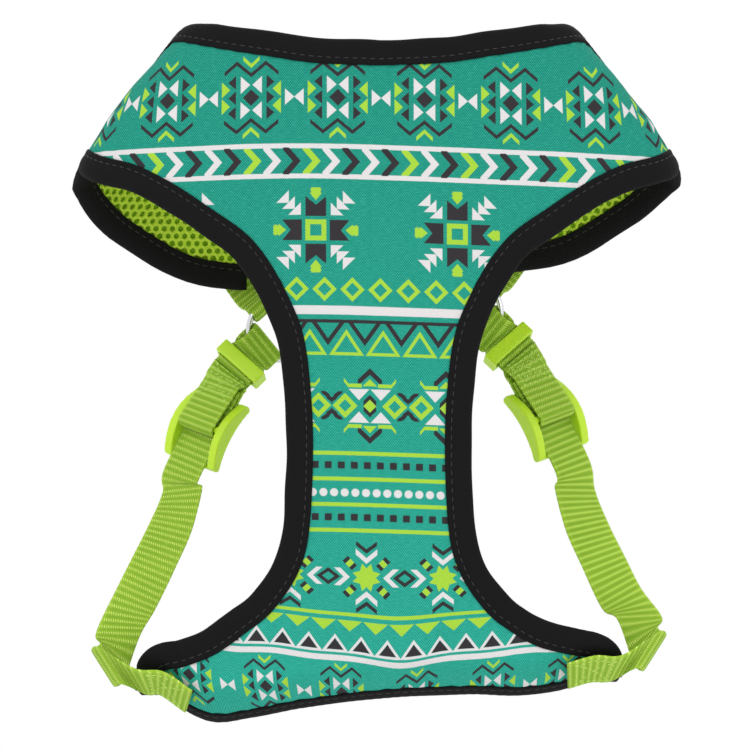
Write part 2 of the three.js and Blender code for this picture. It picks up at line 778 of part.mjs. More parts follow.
function piece(name, geometry, look, frame) {
  const mesh = new THREE.Mesh(geometry, looks[look]);
  mesh.name = name;
  if (frame) mesh.applyMatrix4(frame);
  return mesh;
}

const matrixOf = ({ origin, w, n, d }) => new THREE.Matrix4().makeBasis(w, n, d).setPosition(origin);

function ringFrame({ centre, axis, toKeeper }) {
  return new THREE.Matrix4().makeBasis(toKeeper, cross(axis, toKeeper), axis).setPosition(centre);
}

function oneSide(name, side) {
  const h = hardware(side);
  const torus = new THREE.TorusGeometry(ringMean, ring.wire / 2, 8, 32);
  const group = new THREE.Group();
  group.add(
    piece("leg_binding_" + name, legBinding(side), "tape"),
    piece("band_end_binding_" + name, bandEndBinding(side), "tape"),
    piece("neck_tab_" + name, neckTab(h), "webbing"),
    piece("belly_strap_" + name, bellyStrap(h), "webbing"),
    piece("strap_return_" + name, strapReturn(h), "webbing"),
    piece("buckle_strap_" + name, buckleStrap(h), "webbing"),
    piece("ring_" + name, torus, "steel", ringFrame(h.ring)),
    piece("slider_" + name, sliderShape(), "plastic", matrixOf(h.slider)),
    piece("keeper_" + name, keeperShape(), "plastic", matrixOf(h.keeper)),
  );
  return group;
}

function releaseBuckle() {
  const group = new THREE.Group();
  group.applyMatrix4(buckleFrame);
  group.add(
    piece("buckle_socket", socketShape(), "plastic"),
    piece("buckle_plug", plugShape(), "plastic"),
    piece("latch_arm_upper", armShape(1), "plastic"),
    piece("latch_arm_lower", armShape(-1), "plastic"),
  );
  return group;
}

const harness = new THREE.Group();
harness.add(
  piece("chest_shell", layer(0, cloth.shell), "canvas"),
  piece("chest_lining", layer(cloth.shell + cloth.apart, stack), "mesh"),
  piece("neck_binding", neckBinding(), "tape"),
  piece("hem_binding", hemBinding(), "tape"),
  oneSide("left", -1),
  oneSide("right", 1),
  releaseBuckle(),
);

export default harness;
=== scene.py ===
"""A step-in comfort harness for a small dog: cloth, binding, webbing and fittings round a fixed frame.

Lengths are millimetres until a mesh is made, and metres from there on.
"""

import json
import math

import bmesh
import bpy
import numpy as np
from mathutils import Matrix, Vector


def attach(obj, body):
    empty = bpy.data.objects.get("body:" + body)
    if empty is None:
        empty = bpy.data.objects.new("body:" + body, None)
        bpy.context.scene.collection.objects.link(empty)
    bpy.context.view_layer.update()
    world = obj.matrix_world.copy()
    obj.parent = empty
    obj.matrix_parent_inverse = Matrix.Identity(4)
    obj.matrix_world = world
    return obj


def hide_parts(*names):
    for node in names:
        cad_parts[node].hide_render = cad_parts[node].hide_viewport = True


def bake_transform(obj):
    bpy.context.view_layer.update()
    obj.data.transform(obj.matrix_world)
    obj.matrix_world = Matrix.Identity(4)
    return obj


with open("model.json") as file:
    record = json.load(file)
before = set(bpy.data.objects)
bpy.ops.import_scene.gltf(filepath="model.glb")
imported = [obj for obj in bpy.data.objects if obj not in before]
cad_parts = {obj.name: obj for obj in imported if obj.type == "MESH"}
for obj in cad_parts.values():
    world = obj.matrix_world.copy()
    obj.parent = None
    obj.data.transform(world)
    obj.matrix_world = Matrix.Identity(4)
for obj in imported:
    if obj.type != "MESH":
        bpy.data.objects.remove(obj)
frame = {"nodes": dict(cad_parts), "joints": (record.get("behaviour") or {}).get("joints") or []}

bl_info = {
    "name": "Step-in Comfort Harness",
    "version": (1, 0, 0),
    "blender": (4, 5, 0),
    "location": "3D View > Sidebar > Harness",
    "description": "Builds the cloth, webbing and fittings of a step-in dog harness",
    "category": "Object",
}

MM = 0.001
SIDES = (("left", -1), ("right", 1))

# ---- The vest's outlines, in millimetres and degrees round the wearer ----
LEVELS = (  # height, half width, depth in front, depth behind
    (-230, 111, 33, 34),
    (-190, 111, 36, 34),
    (-110, 111, 38, 34),
    (-45, 111, 36, 34),
    (-30, 109, 35.5, 34),
    (-20, 104, 35, 34),
    (-10, 98, 34, 33),
    (3, 88, 32, 32),
    (17, 75.5, 30, 30),
    (32, 62, 26, 26),
)
SQUARENESS = 2.7
HEM_CURL = (12, 0.09)  # reach above the hem, and how fast it turns back
LIFT = (6.5, 3)  # the right side of the back sits this much higher and nearer
NECK_EDGE = (
    (0, 9.3), (16, 10.3), (29, 13), (54, 17.5), (72, 18.5),
    (90, 15), (110, 5), (132, -11), (154, -18),
)
ARMHOLE_EDGE = (
    (17.8, -68), (20.2, -60), (23.5, -52), (28.2, -45), (38.4, -33), (47, -27), (58, -24),
    (75, -21), (90, -20.5), (100, -23), (120, -36), (135, -49), (145, -58), (154, -61),
)
SIDE_EDGE = (
    (35, -68), (27.7, -85), (24.7, -105), (23.8, -128), (25.2, -156), (29.3, -171),
    (38.2, -184), (47, -191), (56, -195.4), (67, -198), (74.5, -200), (78, -203.5), (77.5, -207),
)
HEM_EDGE = (
    (-96, -212.5), (-84, -212), (-77.5, -211.5), (-70, -217), (-59, -221.5), (-46, -220),
    (-28, -216.5), (0, -213), (33, -211.5), (50, -212), (63, -210.5), (77.5, -207),
    (86, -207.3), (96, -207.6),
)
BAND_END = NECK_EDGE[-1][0]
NECK_STEM = 22
STEM, ARM, UPPER, LOWER = 12, 16, 4, 18  # cells of the cutting grid
SHELL, APART, LINING = 1, 0.5, 2
STACK = SHELL + APART + LINING
BINDING_WIDTH, BINDING_PROUD, BAND_CORNER = 9, 0.8, 3
BINDING_SEAM = 1.7  # from the cloth's edge to the sewing
TAPE_SWAY, TAPE_CRIMP = 0.22, 0.05  # how unevenly the tape was folded and pulled by its stitches
PUCKER_REACH, PUCKER_PITCH, PUCKER_LEAN = 4.5, 7.3, 0.7
GROUND = 0.9  # thickness of the cloth under the lining's net

# ---- Webbing and fittings ----
GAP = 0.3
STRAP, TAB, THICK = 16, 10, 1.4
RETURN_BOW = 0.5  # the sewn end bows this much off the strap under it
RING_WIRE = 2.2
RING_MEAN = (STRAP + 4.8 + RING_WIRE) / 2
PLY = RING_WIRE / 2 + GAP + THICK / 2
PLY_STEP = THICK + 0.6
SLIDER_LENGTH, SLIDER_BAR, SLIDER_TRAVEL = 27, 2.6, 5
KEEPER_LENGTH = 5.5
KEEPER_AT, KEEPER_TURN = (50.2, 31, -96.8), 25
SLIDER_AT, SLIDER_TURN = (63.2, 25, -120.3), 36
LEAD, TAIL = KEEPER_LENGTH / 2 + 0.45, KEEPER_LENGTH / 2 + 2.3  # straight webbing each side of a keeper
STRAIGHT_UP, STRAIGHT_DOWN = SLIDER_LENGTH / 2 + 3, SLIDER_LENGTH / 2 + SLIDER_TRAVEL
BUCKLE_BODY, BUCKLE_BAR, BUCKLE_DEPTH = 13, 2.6, 43
BAR_REACH = BUCKLE_BODY + BUCKLE_BAR / 2 + THICK + 2 * GAP + 1.5
STRAP_SEWN = (66, 75, 84)  # places of a strap's sewn end across the belly panel
SEWN_RISE, SEWN_LEAN, SEWN_PROUD = 5, 4, 1.6
STRAP_FOLD = (  # outer and inner selvedge of the fold beside the panel, from the hem up
    ((99.5, -23, 15.5), (91, -27.5, 2.5)),
    ((102.2, -18, 14.5), (93.6, -20.5, 1.3)),
    ((99.5, -13, 16.5), (91, -12, 3.5)),
    ((101.3, -9.5, 20), (85.4, -8, 19)),
)
STRAP_ROUTE = (  # middle of the strap, and the way it faces
    (87.1, -3, -181, 8), (80.8, 2, -168, 12), (75, 9, -155.2, 16), (71.2, 17, -142.5, 24),
)
TAB_SEWN, TAB_EDGE, TAB_PROUD = (149, -52), (155.5, -71), 0.8
BAR_PITCH, BAR_STITCH, BAR_THREAD = 2.1, 1.8, 0.24  # the webbing's sewing
STRAP_BOX = (3, 16, 12, 0)  # sewn boxes: start, end, width and extra rows across
RETURN_BOX = (1.2, 12.5, 12, 6)
TAB_BOX = (1.6, 7, 7, 0)
RETURN_BEND, LOOP_BEND = (8, 2), (11, 1.5)  # how far in from its two ends a strap starts to bend
WELD_TURN, WELD_SPREAD, WELD_SWELL = 1.2, 0.05, 0.07

# ---- The stage, in metres and watts ----
CAMERA_AT, LENS, SENSOR, FAR_CLIP = (-0.0014, -2.0, -0.1008), 267, 36, 20
LIGHTS = (  # name, place, size and power
    ("Key", (-0.7, -1.3, 0.9), 0.9, 7.0),
    ("Fill", (0.9, -1.1, 0.1), 0.9, 2.5),
    ("Rim", (0.1, 1.2, 0.9), 0.8, 4.0),
)
LIT_POINT = (0, 0, -0.1)
FLOOR_HALF, FLOOR_LEVEL = 1500, -450  # millimetres

# ---- The print, in millimetres of cloth: the height of each row, the middle of one of its
# motifs across the cloth, and half the pitch from motif to motif ----
MEDALLIONS_HIGH, MEDALLIONS_LOW = (-2.9, -14.6, 15.35), (-215.2, 13.5, 13.5)
ARROWHEADS, ARROW_PITCH, ARROW_START, ARROW_REPEAT = -25.7, 6.98, 4.4, 8  # height first
CROSSES = (-50.1, -22.3, 25)
DIAMONDS = (-70.9, 0.5, 4.93)
WIDE_BAND = (-78.3, 1.55)  # height and half width
TRIANGLES = (-90.8, -5.0, 6.48)
JEWELS = (-111.9, -3.2, 13.45)
LIME_LINES, LINES_TOP, LINES_FOOT = (-128.7, 4.53), -128.0, -157.4
DASHES, DOTS = (-142.1, -17.9, 2.3), (-142.6, -19.6, 1.88)
STARS = (-172.5, -4.4, 13.5)
SAW_TEETH, HEM_TRIANGLES = (-192.4, 8.0, 4.6), (-193.7, 3.0, 4.63)
HEM_LINES = ((-186.2, 0.65), (-202.3, 1.0))


# ---- Small helpers ----
def point(*xyz):
    return np.array(xyz, float)


def unit(v):
    return v / np.linalg.norm(v)


def crossed(a, b):
    return unit(np.cross(a, b))


def smooth(value, low, high):
    f = np.clip((np.asarray(value, float) - low) / (high - low), 0, 1)
    return f * f * (3 - 2 * f)


def through(table, u):
    """A smooth curve through (u, value) pairs in rising order of u."""
    xs, ys = np.array(table, float).T
    u = np.asarray(u, float)
    slope = np.empty(len(xs))
    slope[1:-1] = (ys[2:] - ys[:-2]) / (xs[2:] - xs[:-2])
    slope[0] = (ys[1] - ys[0]) / (xs[1] - xs[0])
    slope[-1] = (ys[-1] - ys[-2]) / (xs[-1] - xs[-2])
    i = np.clip(np.searchsorted(xs, u, side="right") - 1, 0, len(xs) - 2)
    span = xs[i + 1] - xs[i]
    f = (u - xs[i]) / span
    f2, f3 = f**2, f**3
    ends = ys[i] * (2 * f3 - 3 * f2 + 1) + ys[i + 1] * (3 * f2 - 2 * f3)
    return ends + span * (slope[i] * (f3 - 2 * f2 + f) + slope[i + 1] * (f3 - f2))


def spline(points, count):
    """Points spread along a smooth curve through rows of numbers, even in their own length."""
    rows = np.array(points, float)
    whole = np.vstack([2 * rows[0] - rows[1], rows, 2 * rows[-1] - rows[-2]])
    dense = []
    for i in range(1, len(whole) - 2):
        a, b, c, d = whole[i - 1 : i + 3]
        for f in np.linspace(0, 1, 24, endpoint=False):
            dense.append(
                b + 0.5 * f * (c - a + f * (2 * a - 5 * b + 4 * c - d + f * (3 * (b - c) + d - a)))
            )
    dense = np.array([*dense, rows[-1]])
    run = np.concatenate([[0], np.cumsum(np.linalg.norm(np.diff(dense[:, :3], axis=0), axis=1))])
    at = np.linspace(0, run[-1], count)
    return np.stack([np.interp(at, run, column) for column in dense.T], 1)


def ripple(u, v, wave, seed=0.0):
    """A soft irregular wave over a surface, from -1 to 1."""
    a, b = u * 2 * math.pi / wave, v * 2 * math.pi / wave
    first = np.sin(a * 0.83 + b * 0.41 + seed) * np.cos(b * 0.67 - a * 0.29 + 2.1 * seed)
    return 0.6 * first + 0.4 * np.sin(a * 1.63 - b * 1.21 + 1.7 * seed)


# ---- The wearer's form ----
def hem_at(x):
    return through(HEM_EDGE, x)


def settle(p):
    """The right side of the back, and what hangs from it, sits a little higher."""
    x, y, z = p[..., 0], p[..., 1], p[..., 2]
    f = np.where(x > 0, smooth(z, -150, -95) * smooth(y, 0, 25) * smooth(x, 0, 30), 0)
    return p + np.stack([-LIFT[1] * f, 0 * f, LIFT[0] * f], -1)


def on_form(turn, z):
    turn, z = np.broadcast_arrays(np.asarray(turn, float), np.asarray(z, float))
    s, c = np.sin(np.radians(turn)), np.cos(np.radians(turn))
    norm = (np.abs(s) ** SQUARENESS + np.abs(c) ** SQUARENESS) ** (1 / SQUARENESS)
    heights, half, front, back = np.array(LEVELS, float).T
    x = np.interp(z, heights, half) * s / norm
    depth = np.where(c > 0, np.interp(z, heights, front), np.interp(z, heights, back))
    curl = HEM_CURL[1] * np.maximum(0, HEM_CURL[0] - (z - hem_at(x))) ** 2
    return settle(np.stack([x, -depth * c / norm + np.where(c > 0, curl, 0), z], -1))


def turn_of(x, z):
    """The turn at which the front of the form has this x."""
    heights, half = np.array(LEVELS, float).T[:2]
    k = np.minimum(np.abs(x) / np.interp(z, heights, half), 0.999)
    turn = np.arctan2(k, (1 - k**SQUARENESS) ** (1 / SQUARENESS))
    return np.sign(x) * np.degrees(turn)


def normal_at(turn, z, step=0.5):
    along = on_form(turn + step, z) - on_form(turn - step, z)
    up = on_form(turn, z + step) - on_form(turn, z - step)
    n = np.cross(along, up)
    return n / np.linalg.norm(n, axis=-1, keepdims=True)


def lifted(turn, z, height):
    return on_form(turn, z) + normal_at(turn, z) * np.asarray(height)[..., None]


# ---- The cloth's cut ----
def side_curve(f):
    """Half width and height of the chest panel's side at a share of the way down."""
    rows = np.array(SIDE_EDGE, float)
    whole = np.vstack([rows[0], rows, rows[-1]])
    t = np.clip(np.asarray(f, float), 0, 1) * (len(rows) - 1)
    i = np.minimum(t.astype(int), len(rows) - 2)
    w = (t - i)[..., None]
    a, b, c, d = (whole[i + k] for k in range(4))
    return b + 0.5 * w * (c - a + w * (2 * a - 5 * b + 4 * c - d + w * (3 * (b - c) + d - a)))


def arm_turn(start, f):
    return start + (BAND_END - start) * f**1.5


def collar_point(column, row):
    """Turn and height in the collar: columns run from one band end to the other."""
    k = np.asarray(column, float) - ARM - STEM / 2
    side = np.sign(k)
    beyond = np.maximum(0, np.abs(k) - STEM / 2) / ARM
    inside = np.minimum(1, np.abs(k) / (STEM / 2))
    top = side * np.where(beyond > 0, arm_turn(NECK_STEM, beyond), NECK_STEM * inside)
    start = ARMHOLE_EDGE[0][0]
    foot_in = turn_of(inside * SIDE_EDGE[0][0], SIDE_EDGE[0][1])
    foot = side * np.where(beyond > 0, arm_turn(start, beyond), foot_in)
    low = through(ARMHOLE_EDGE, np.maximum(np.abs(foot), start))
    high = through(NECK_EDGE, np.abs(top))
    f = np.asarray(row, float) / UPPER
    return top + (foot - top) * f, high + (low - high) * f


def panel_point(column, row):
    """The same for the chest and belly panel below the collar."""
    f = np.asarray(row, float) / LOWER
    edge = side_curve(f)
    x = edge[..., 0] * (np.asarray(column, float) / (STEM / 2) - 1)
    z = edge[..., 1] + (hem_at(x) - SIDE_EDGE[-1][1]) * smooth(f, 0.55, 1)
    return turn_of(x, z), z


def corner_of(side, edge, reach):
    """The point past a band end to which an edge's binding runs."""
    z = edge[-1][1]
    heights, half = np.array(LEVELS, float).T[:2]
    return side * (BAND_END + math.degrees(reach / np.interp(z, heights, half))), z


def neck_line(fine=6):
    turn, z = collar_point(np.linspace(0, 2 * ARM + STEM, (2 * ARM + STEM) * fine + 1), 0)
    ends = [corner_of(s, NECK_EDGE, BINDING_WIDTH) for s in (-1, 1)]
    return np.vstack([ends[0], np.stack([turn, z], 1), ends[1]])


def leg_line(side, fine=6):
    panel, collar = (STEM, 2 * ARM + STEM) if side > 0 else (0, 0)
    rise = np.linspace(LOWER, 0, LOWER * fine + 1)
    low = np.stack(panel_point(np.full(len(rise), panel), rise), 1)
    run = np.linspace(collar - side * ARM, collar, ARM * fine + 1)
    high = np.stack(collar_point(run, UPPER), 1)
    return np.vstack([low, high[1:], corner_of(side, ARMHOLE_EDGE, BAND_CORNER)])


def hem_line(fine=8):
    run = np.linspace(0, STEM, STEM * fine + 1)
    edge = np.stack(panel_point(run, np.full(len(run), LOWER)), 1)
    x = (SIDE_EDGE[-1][0] + BINDING_WIDTH) * np.array([-1, 1])
    past = np.stack([turn_of(x, hem_at(x)), hem_at(x)], 1)
    return np.vstack([past[0], edge, past[1]])


def band_end_line(side):
    top, bottom = NECK_EDGE[-1][1] - 2, ARMHOLE_EDGE[-1][1]
    return np.array([(side * BAND_END, z) for z in np.linspace(top, bottom, 25)])


def edge_lines():
    """Every binding: name, edge, and the side of the edge on which the tape lies."""
    yield "neck_binding", neck_line(), -1
    yield "hem_binding", hem_line(), 1
    for name, side in SIDES:
        yield "leg_binding_" + name, leg_line(side), side
        yield "band_end_binding_" + name, band_end_line(side), -side


class Edge:
    """A cloth edge on the form, with the directions out of the cloth and off its face."""

    def __init__(self, line, side):
        self.turn, self.z = line.T
        self.at = on_form(self.turn, self.z)
        self.face = normal_at(self.turn, self.z)
        along = np.gradient(self.at, axis=0)
        out = np.cross(along, self.face) * side
        self.out = out / np.linalg.norm(out, axis=1, keepdims=True)
        steps = np.linalg.norm(np.diff(self.at, axis=0), axis=1)
        self.run = np.concatenate([[0], np.cumsum(steps)])

    def place(self, reach, height):
        return self.at + self.out * reach + self.face * height


def across_table():
    """Length of cloth from the front's middle, over turn and height, for the print."""
    heights = np.linspace(-235, 25, 105)
    turns = np.linspace(-165, 165, 331)
    grid = on_form(turns[None, :], heights[:, None])
    steps = np.linalg.norm(np.diff(grid, axis=1), axis=2)
    run = np.concatenate([np.zeros((len(heights), 1)), np.cumsum(steps, axis=1)], 1)
    return heights, turns, run - run[:, [165]]


def across_of(turn, z, table):
    heights, turns, run = table
    i = np.clip((np.asarray(z) - heights[0]) / (heights[1] - heights[0]), 0, len(heights) - 1.001)
    j = np.clip((np.asarray(turn) - turns[0]) / (turns[1] - turns[0]), 0, len(turns) - 1.001)
    i0, j0 = i.astype(int), j.astype(int)
    fi, fj = i - i0, j - j0
    low = run[i0, j0] * (1 - fj) + run[i0, j0 + 1] * fj
    high = run[i0 + 1, j0] * (1 - fj) + run[i0 + 1, j0 + 1] * fj
    return low * (1 - fi) + high * fi


def print_height(u, z):
    """Height in the print: the rows tilt over the chest and bow upwards near the hem."""
    tilt = 0.04 * (np.hypot(u + 28, 20) - 20) - 0.58
    bow = 0.19 * (np.hypot(u, 30) - 30) * smooth(-z, 158, 190)
    wave = 0.7 * np.sin(u / 9.5 + 0.8) * smooth(-z, 175, 200)
    return z + tilt - bow + wave


def cloth_grid(fine=5):
    """Turn, height and quads of the vest's cut."""
    wide, high = (2 * ARM + STEM) * fine, UPPER * 2 * fine
    rows = [collar_point(np.linspace(0, 2 * ARM + STEM, wide + 1), r / (2 * fine))
            for r in range(high + 1)]
    stem, low = STEM * fine, LOWER * fine
    rows += [panel_point(np.linspace(0, STEM, stem + 1), np.full(stem + 1, r / fine))
             for r in range(1, low + 1)]
    start = (high + 1) * (wide + 1)
    collar = [[r * (wide + 1) + c for c in range(wide + 1)] for r in range(high + 1)]
    panel = [collar[-1][ARM * fine : ARM * fine + stem + 1]]
    panel += [[start + r * (stem + 1) + c for c in range(stem + 1)] for r in range(low)]
    quads = []
    for block in (collar, panel):
        for upper, lower in zip(block, block[1:]):
            for c in range(len(upper) - 1):
                quads.append((lower[c], lower[c + 1], upper[c + 1], upper[c]))
    turn, z = (np.concatenate(part) for part in zip(*rows))
    return turn, z, np.array(quads)


def edge_distance(points):
    """Distance of each point from the nearest bound edge of the cloth."""
    edges = np.vstack([Edge(line, side).at[::2] for _, line, side in edge_lines()])
    nearest = [np.sqrt(((part[:, None] - edges[None]) ** 2).sum(2)).min(1)
               for part in np.array_split(points, max(1, len(points) // 2000))]
    return np.concatenate(nearest)


# ---- Meshes ----
def new_piece(name, points, faces, uv=None, shade=True):
    """A mesh object from millimetre points; uv holds two numbers for each point."""
    mesh = bpy.data.meshes.new(name)
    mesh.from_pydata((np.asarray(points) * MM).tolist(), [], [list(map(int, f)) for f in faces])
    if uv is not None:
        loops = np.empty(len(mesh.loops), np.int32)
        mesh.loops.foreach_get("vertex_index", loops)
        layer = mesh.uv_layers.new(name="Cloth")
        layer.data.foreach_set("uv", np.asarray(uv, np.float32)[loops].ravel())
    mesh.validate()
    if shade:
        mesh.shade_smooth()
    else:
        mesh.shade_flat()
    made = bpy.data.objects.new(name, mesh)
    bpy.context.scene.collection.objects.link(made)
    return made


def finished(piece, material, slot, body, *nodes):
    """Gives a piece its material, its place on a body and the nodes that it stands for."""
    piece.data.materials.clear()
    piece.data.materials.append(material)
    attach(piece, body)
    if nodes:
        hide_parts(*nodes)
    return piece


def loft_faces(rows, width, closed=False):
    """Quads through rows of rings, with fans over the two ends of an open loft."""
    faces = []
    for k in range(rows if closed else rows - 1):
        here, there = k * width, ((k + 1) % rows) * width
        for i in range(width):
            j = (i + 1) % width
            faces.append((here + i, here + j, there + j, there + i))
    if not closed:
        faces.append(tuple(reversed(range(width))))
        faces.append(tuple((rows - 1) * width + i for i in range(width)))
    return faces


def facing_out(points, faces):
    """The same faces, turned round if they enclose a negative volume."""
    points = np.asarray(points)
    total = 0.0
    for f in faces:
        a = points[f[0]]
        for b, c in zip(f[1:], f[2:]):
            total += np.dot(a, np.cross(points[b], points[c]))
    return faces if total > 0 else [tuple(reversed(f)) for f in faces]


def superellipse(width, height, count, power_x=0.22, power_y=0.6):
    """A flat ring with rounded selvedges."""
    a = np.linspace(0, 2 * math.pi, count, endpoint=False) + math.pi / count
    x = np.sign(np.cos(a)) * np.abs(np.cos(a)) ** power_x * width / 2
    y = np.sign(np.sin(a)) * np.abs(np.sin(a)) ** power_y * height / 2
    return x, y


# ---- Places of the fittings ----
def joint_of(name):
    return next(j for j in frame["joints"] if j["name"] == name)


class Frame:
    """Origin, way down the strap, outward normal and width direction of a strap's station."""

    def __init__(self, origin, d, n):
        self.origin, self.d = origin, d
        self.n = unit(n - d * np.dot(n, d))
        self.w = crossed(self.n, d)

    def pair(self, down, height, width):
        centre = self.origin + self.d * down + self.n * height
        return centre - self.w * width / 2, centre + self.w * width / 2


def turned_face(side, turn):
    return point(side * math.sin(math.radians(turn)), -math.cos(math.radians(turn)), 0)


class Side:
    """Where one side's ring, keeper, slider and buckle bar are."""

    def __init__(self, name, side):
        self.name, self.side = name, side
        spin = {s: joint_of(f"ring_{s}_spin") for s, _ in SIDES}
        rings = {s: point(*spin[s]["pos_m"]) / MM for s in spin}
        self.ring = rings[name]
        self.axis = point(*spin[name]["axis"])
        mid = (rings["left"] + rings["right"]) / 2
        mid[1] = BUCKLE_DEPTH
        flat = rings["right"] - rings["left"]
        flat[1] = 0
        across = unit(flat)
        self.bz = crossed(across, point(0, 1, 0))
        keeper = settle(point(side * KEEPER_AT[0], *KEEPER_AT[1:]))
        slider = settle(point(side * SLIDER_AT[0], *SLIDER_AT[1:]))
        down = point(*joint_of(f"keeper_{name}_slide")["axis"])
        self.keeper = Frame(keeper, down, turned_face(side, KEEPER_TURN))
        down = point(*joint_of(f"slider_{name}_slide")["axis"])
        self.slider = Frame(slider, down, turned_face(side, SLIDER_TURN))
        self.bar = mid + across * side * BAR_REACH


def bridge_frame(h, share):
    tail = h.keeper.origin + h.keeper.d * TAIL
    top = h.slider.origin - h.slider.d * STRAIGHT_UP
    d = unit(h.keeper.d * (1 - share) + h.slider.d * share)
    return Frame(tail + (top - tail) * share, d, h.keeper.n * (1 - share) + h.slider.n * share)


# ---- Webbing routes: pairs of selvedge points ----
def ring_turn(h, out, width, steps=12):
    clear = RING_MEAN - RING_WIRE / 2 - GAP
    reach = math.sqrt(clear**2 - (width / 2) ** 2) + PLY - THICK / 2
    wide = crossed(out, h.axis)
    free = RING_MEAN + RING_WIRE / 2 + GAP

    def pair(radial, height):
        c = h.ring + out * radial + h.axis * height
        return c - wide * width / 2, c + wide * width / 2

    turns = [pair(reach - PLY * math.sin(a), PLY * math.cos(a))
             for a in np.linspace(0, math.pi, steps + 1)]
    return [pair(free, PLY), *turns, pair(free, -PLY)]


def belly_route(h):
    side = h.side

    def ordered(outer, inner):
        return (inner, outer) if side > 0 else (outer, inner)

    high = BINDING_PROUD + GAP + THICK / 2 + SEWN_PROUD
    pairs = []
    for x in STRAP_SEWN:
        spread = side * np.array([x, x + SEWN_LEAN])
        z = hem_at(spread) + SEWN_RISE
        turn = turn_of(spread, z)
        here, back = on_form(turn, z)
        up = crossed(normal_at(turn[0], z[0]), unit(here - back))
        up = up if up[2] > 0 else -up
        c = lifted(turn[0], z[0], high)
        pairs.append(ordered(c + up * STRAP / 2, c - up * STRAP / 2))
    hem = float(hem_at(side * STRAP_SEWN[1]))
    for outer, inner in STRAP_FOLD:
        pairs.append(ordered(*(point(side * x, y, hem + z) for x, y, z in (outer, inner))))
    below = (pairs[-1][0] + pairs[-1][1]) / 2
    above = h.slider.origin + h.slider.d * STRAIGHT_DOWN
    stops = [below, *(settle(point(side * x, y, z)) for x, y, z, _ in STRAP_ROUTE), above]
    for i, (_, _, _, turn) in enumerate(STRAP_ROUTE, 1):
        station = Frame(stops[i], unit(stops[i - 1] - stops[i + 1]), turned_face(side, turn))
        pairs.append(station.pair(0, 0, STRAP))
    half = PLY_STEP / 2
    pairs += [h.slider.pair(STRAIGHT_DOWN, 0, STRAP), h.slider.pair(-STRAIGHT_UP, 0, STRAP)]
    pairs += [bridge_frame(h, s).pair(0, -half * (1 - s), STRAP) for s in (0.75, 0.5, 0.25)]
    pairs += [h.keeper.pair(TAIL, -half, STRAP), h.keeper.pair(-LEAD, -half, STRAP)]
    to_keeper = unit(h.keeper.origin - h.ring)
    for a, b in ring_turn(h, to_keeper, STRAP):
        pairs.append((b, a) if np.dot(h.keeper.w, b - a) < 0 else (a, b))
    pairs += [h.keeper.pair(-LEAD, half, STRAP), h.keeper.pair(TAIL, half, STRAP)]
    return pairs


def return_route(h):
    round_bar = SLIDER_BAR / 2 + GAP + THICK / 2
    middle, half = PLY_STEP + round_bar, PLY_STEP / 2
    pairs = [h.keeper.pair(TAIL + 2 * GAP, half + GAP, STRAP)]
    for s in (0.25, 0.5, 0.75):
        height = half + GAP + (2 * PLY_STEP - half) * s + RETURN_BOW * math.sin(math.pi * s)
        pairs.append(bridge_frame(h, s).pair(0, height, STRAP))
    pairs.append(h.slider.pair(-STRAIGHT_UP, 2 * PLY_STEP, STRAP))
    for a in np.linspace(0, math.pi, 13):
        height = middle + round_bar * math.cos(a)
        pairs.append(h.slider.pair(round_bar * math.sin(a), height, STRAP))
    return [*pairs, h.slider.pair(-STRAIGHT_UP, PLY_STEP, STRAP)]


def neck_tab_route(h):
    low = BINDING_PROUD + GAP + THICK / 2 + TAB_PROUD
    out = lifted(h.side * TAB_EDGE[0], TAB_EDGE[1], low) - h.ring
    out = unit(out - h.axis * np.dot(out, h.axis))

    def on(place, height):
        turn, z = h.side * place[0], place[1]
        c = lifted(turn, z, height)
        wide = crossed(out, normal_at(turn, z))
        return c - wide * TAB / 2, c + wide * TAB / 2

    outer = [on(TAB_SEWN, low + PLY_STEP), on(TAB_EDGE, low + PLY_STEP)]
    return [*outer, *ring_turn(h, out, TAB), on(TAB_EDGE, low), on(TAB_SEWN, low)]


def buckle_route(h):
    to_bar = unit(h.bar - h.ring)
    turn = ring_turn(h, to_bar, STRAP)
    wide = h.bz * np.sign(np.dot(h.bz, turn[0][1] - turn[0][0]))
    away = unit(to_bar - wide * np.dot(to_bar, wide))
    face = crossed(wide, away)
    face = face * np.sign(face[1])
    round_bar = BUCKLE_BAR / 2 + GAP + THICK / 2
    bend = []
    for a in np.linspace(0, math.pi, 13):
        c = h.bar + away * round_bar * math.sin(a) - face * round_bar * math.cos(a)
        bend.append((c - wide * STRAP / 2, c + wide * STRAP / 2))
    return [*turn, *bend, turn[0]]


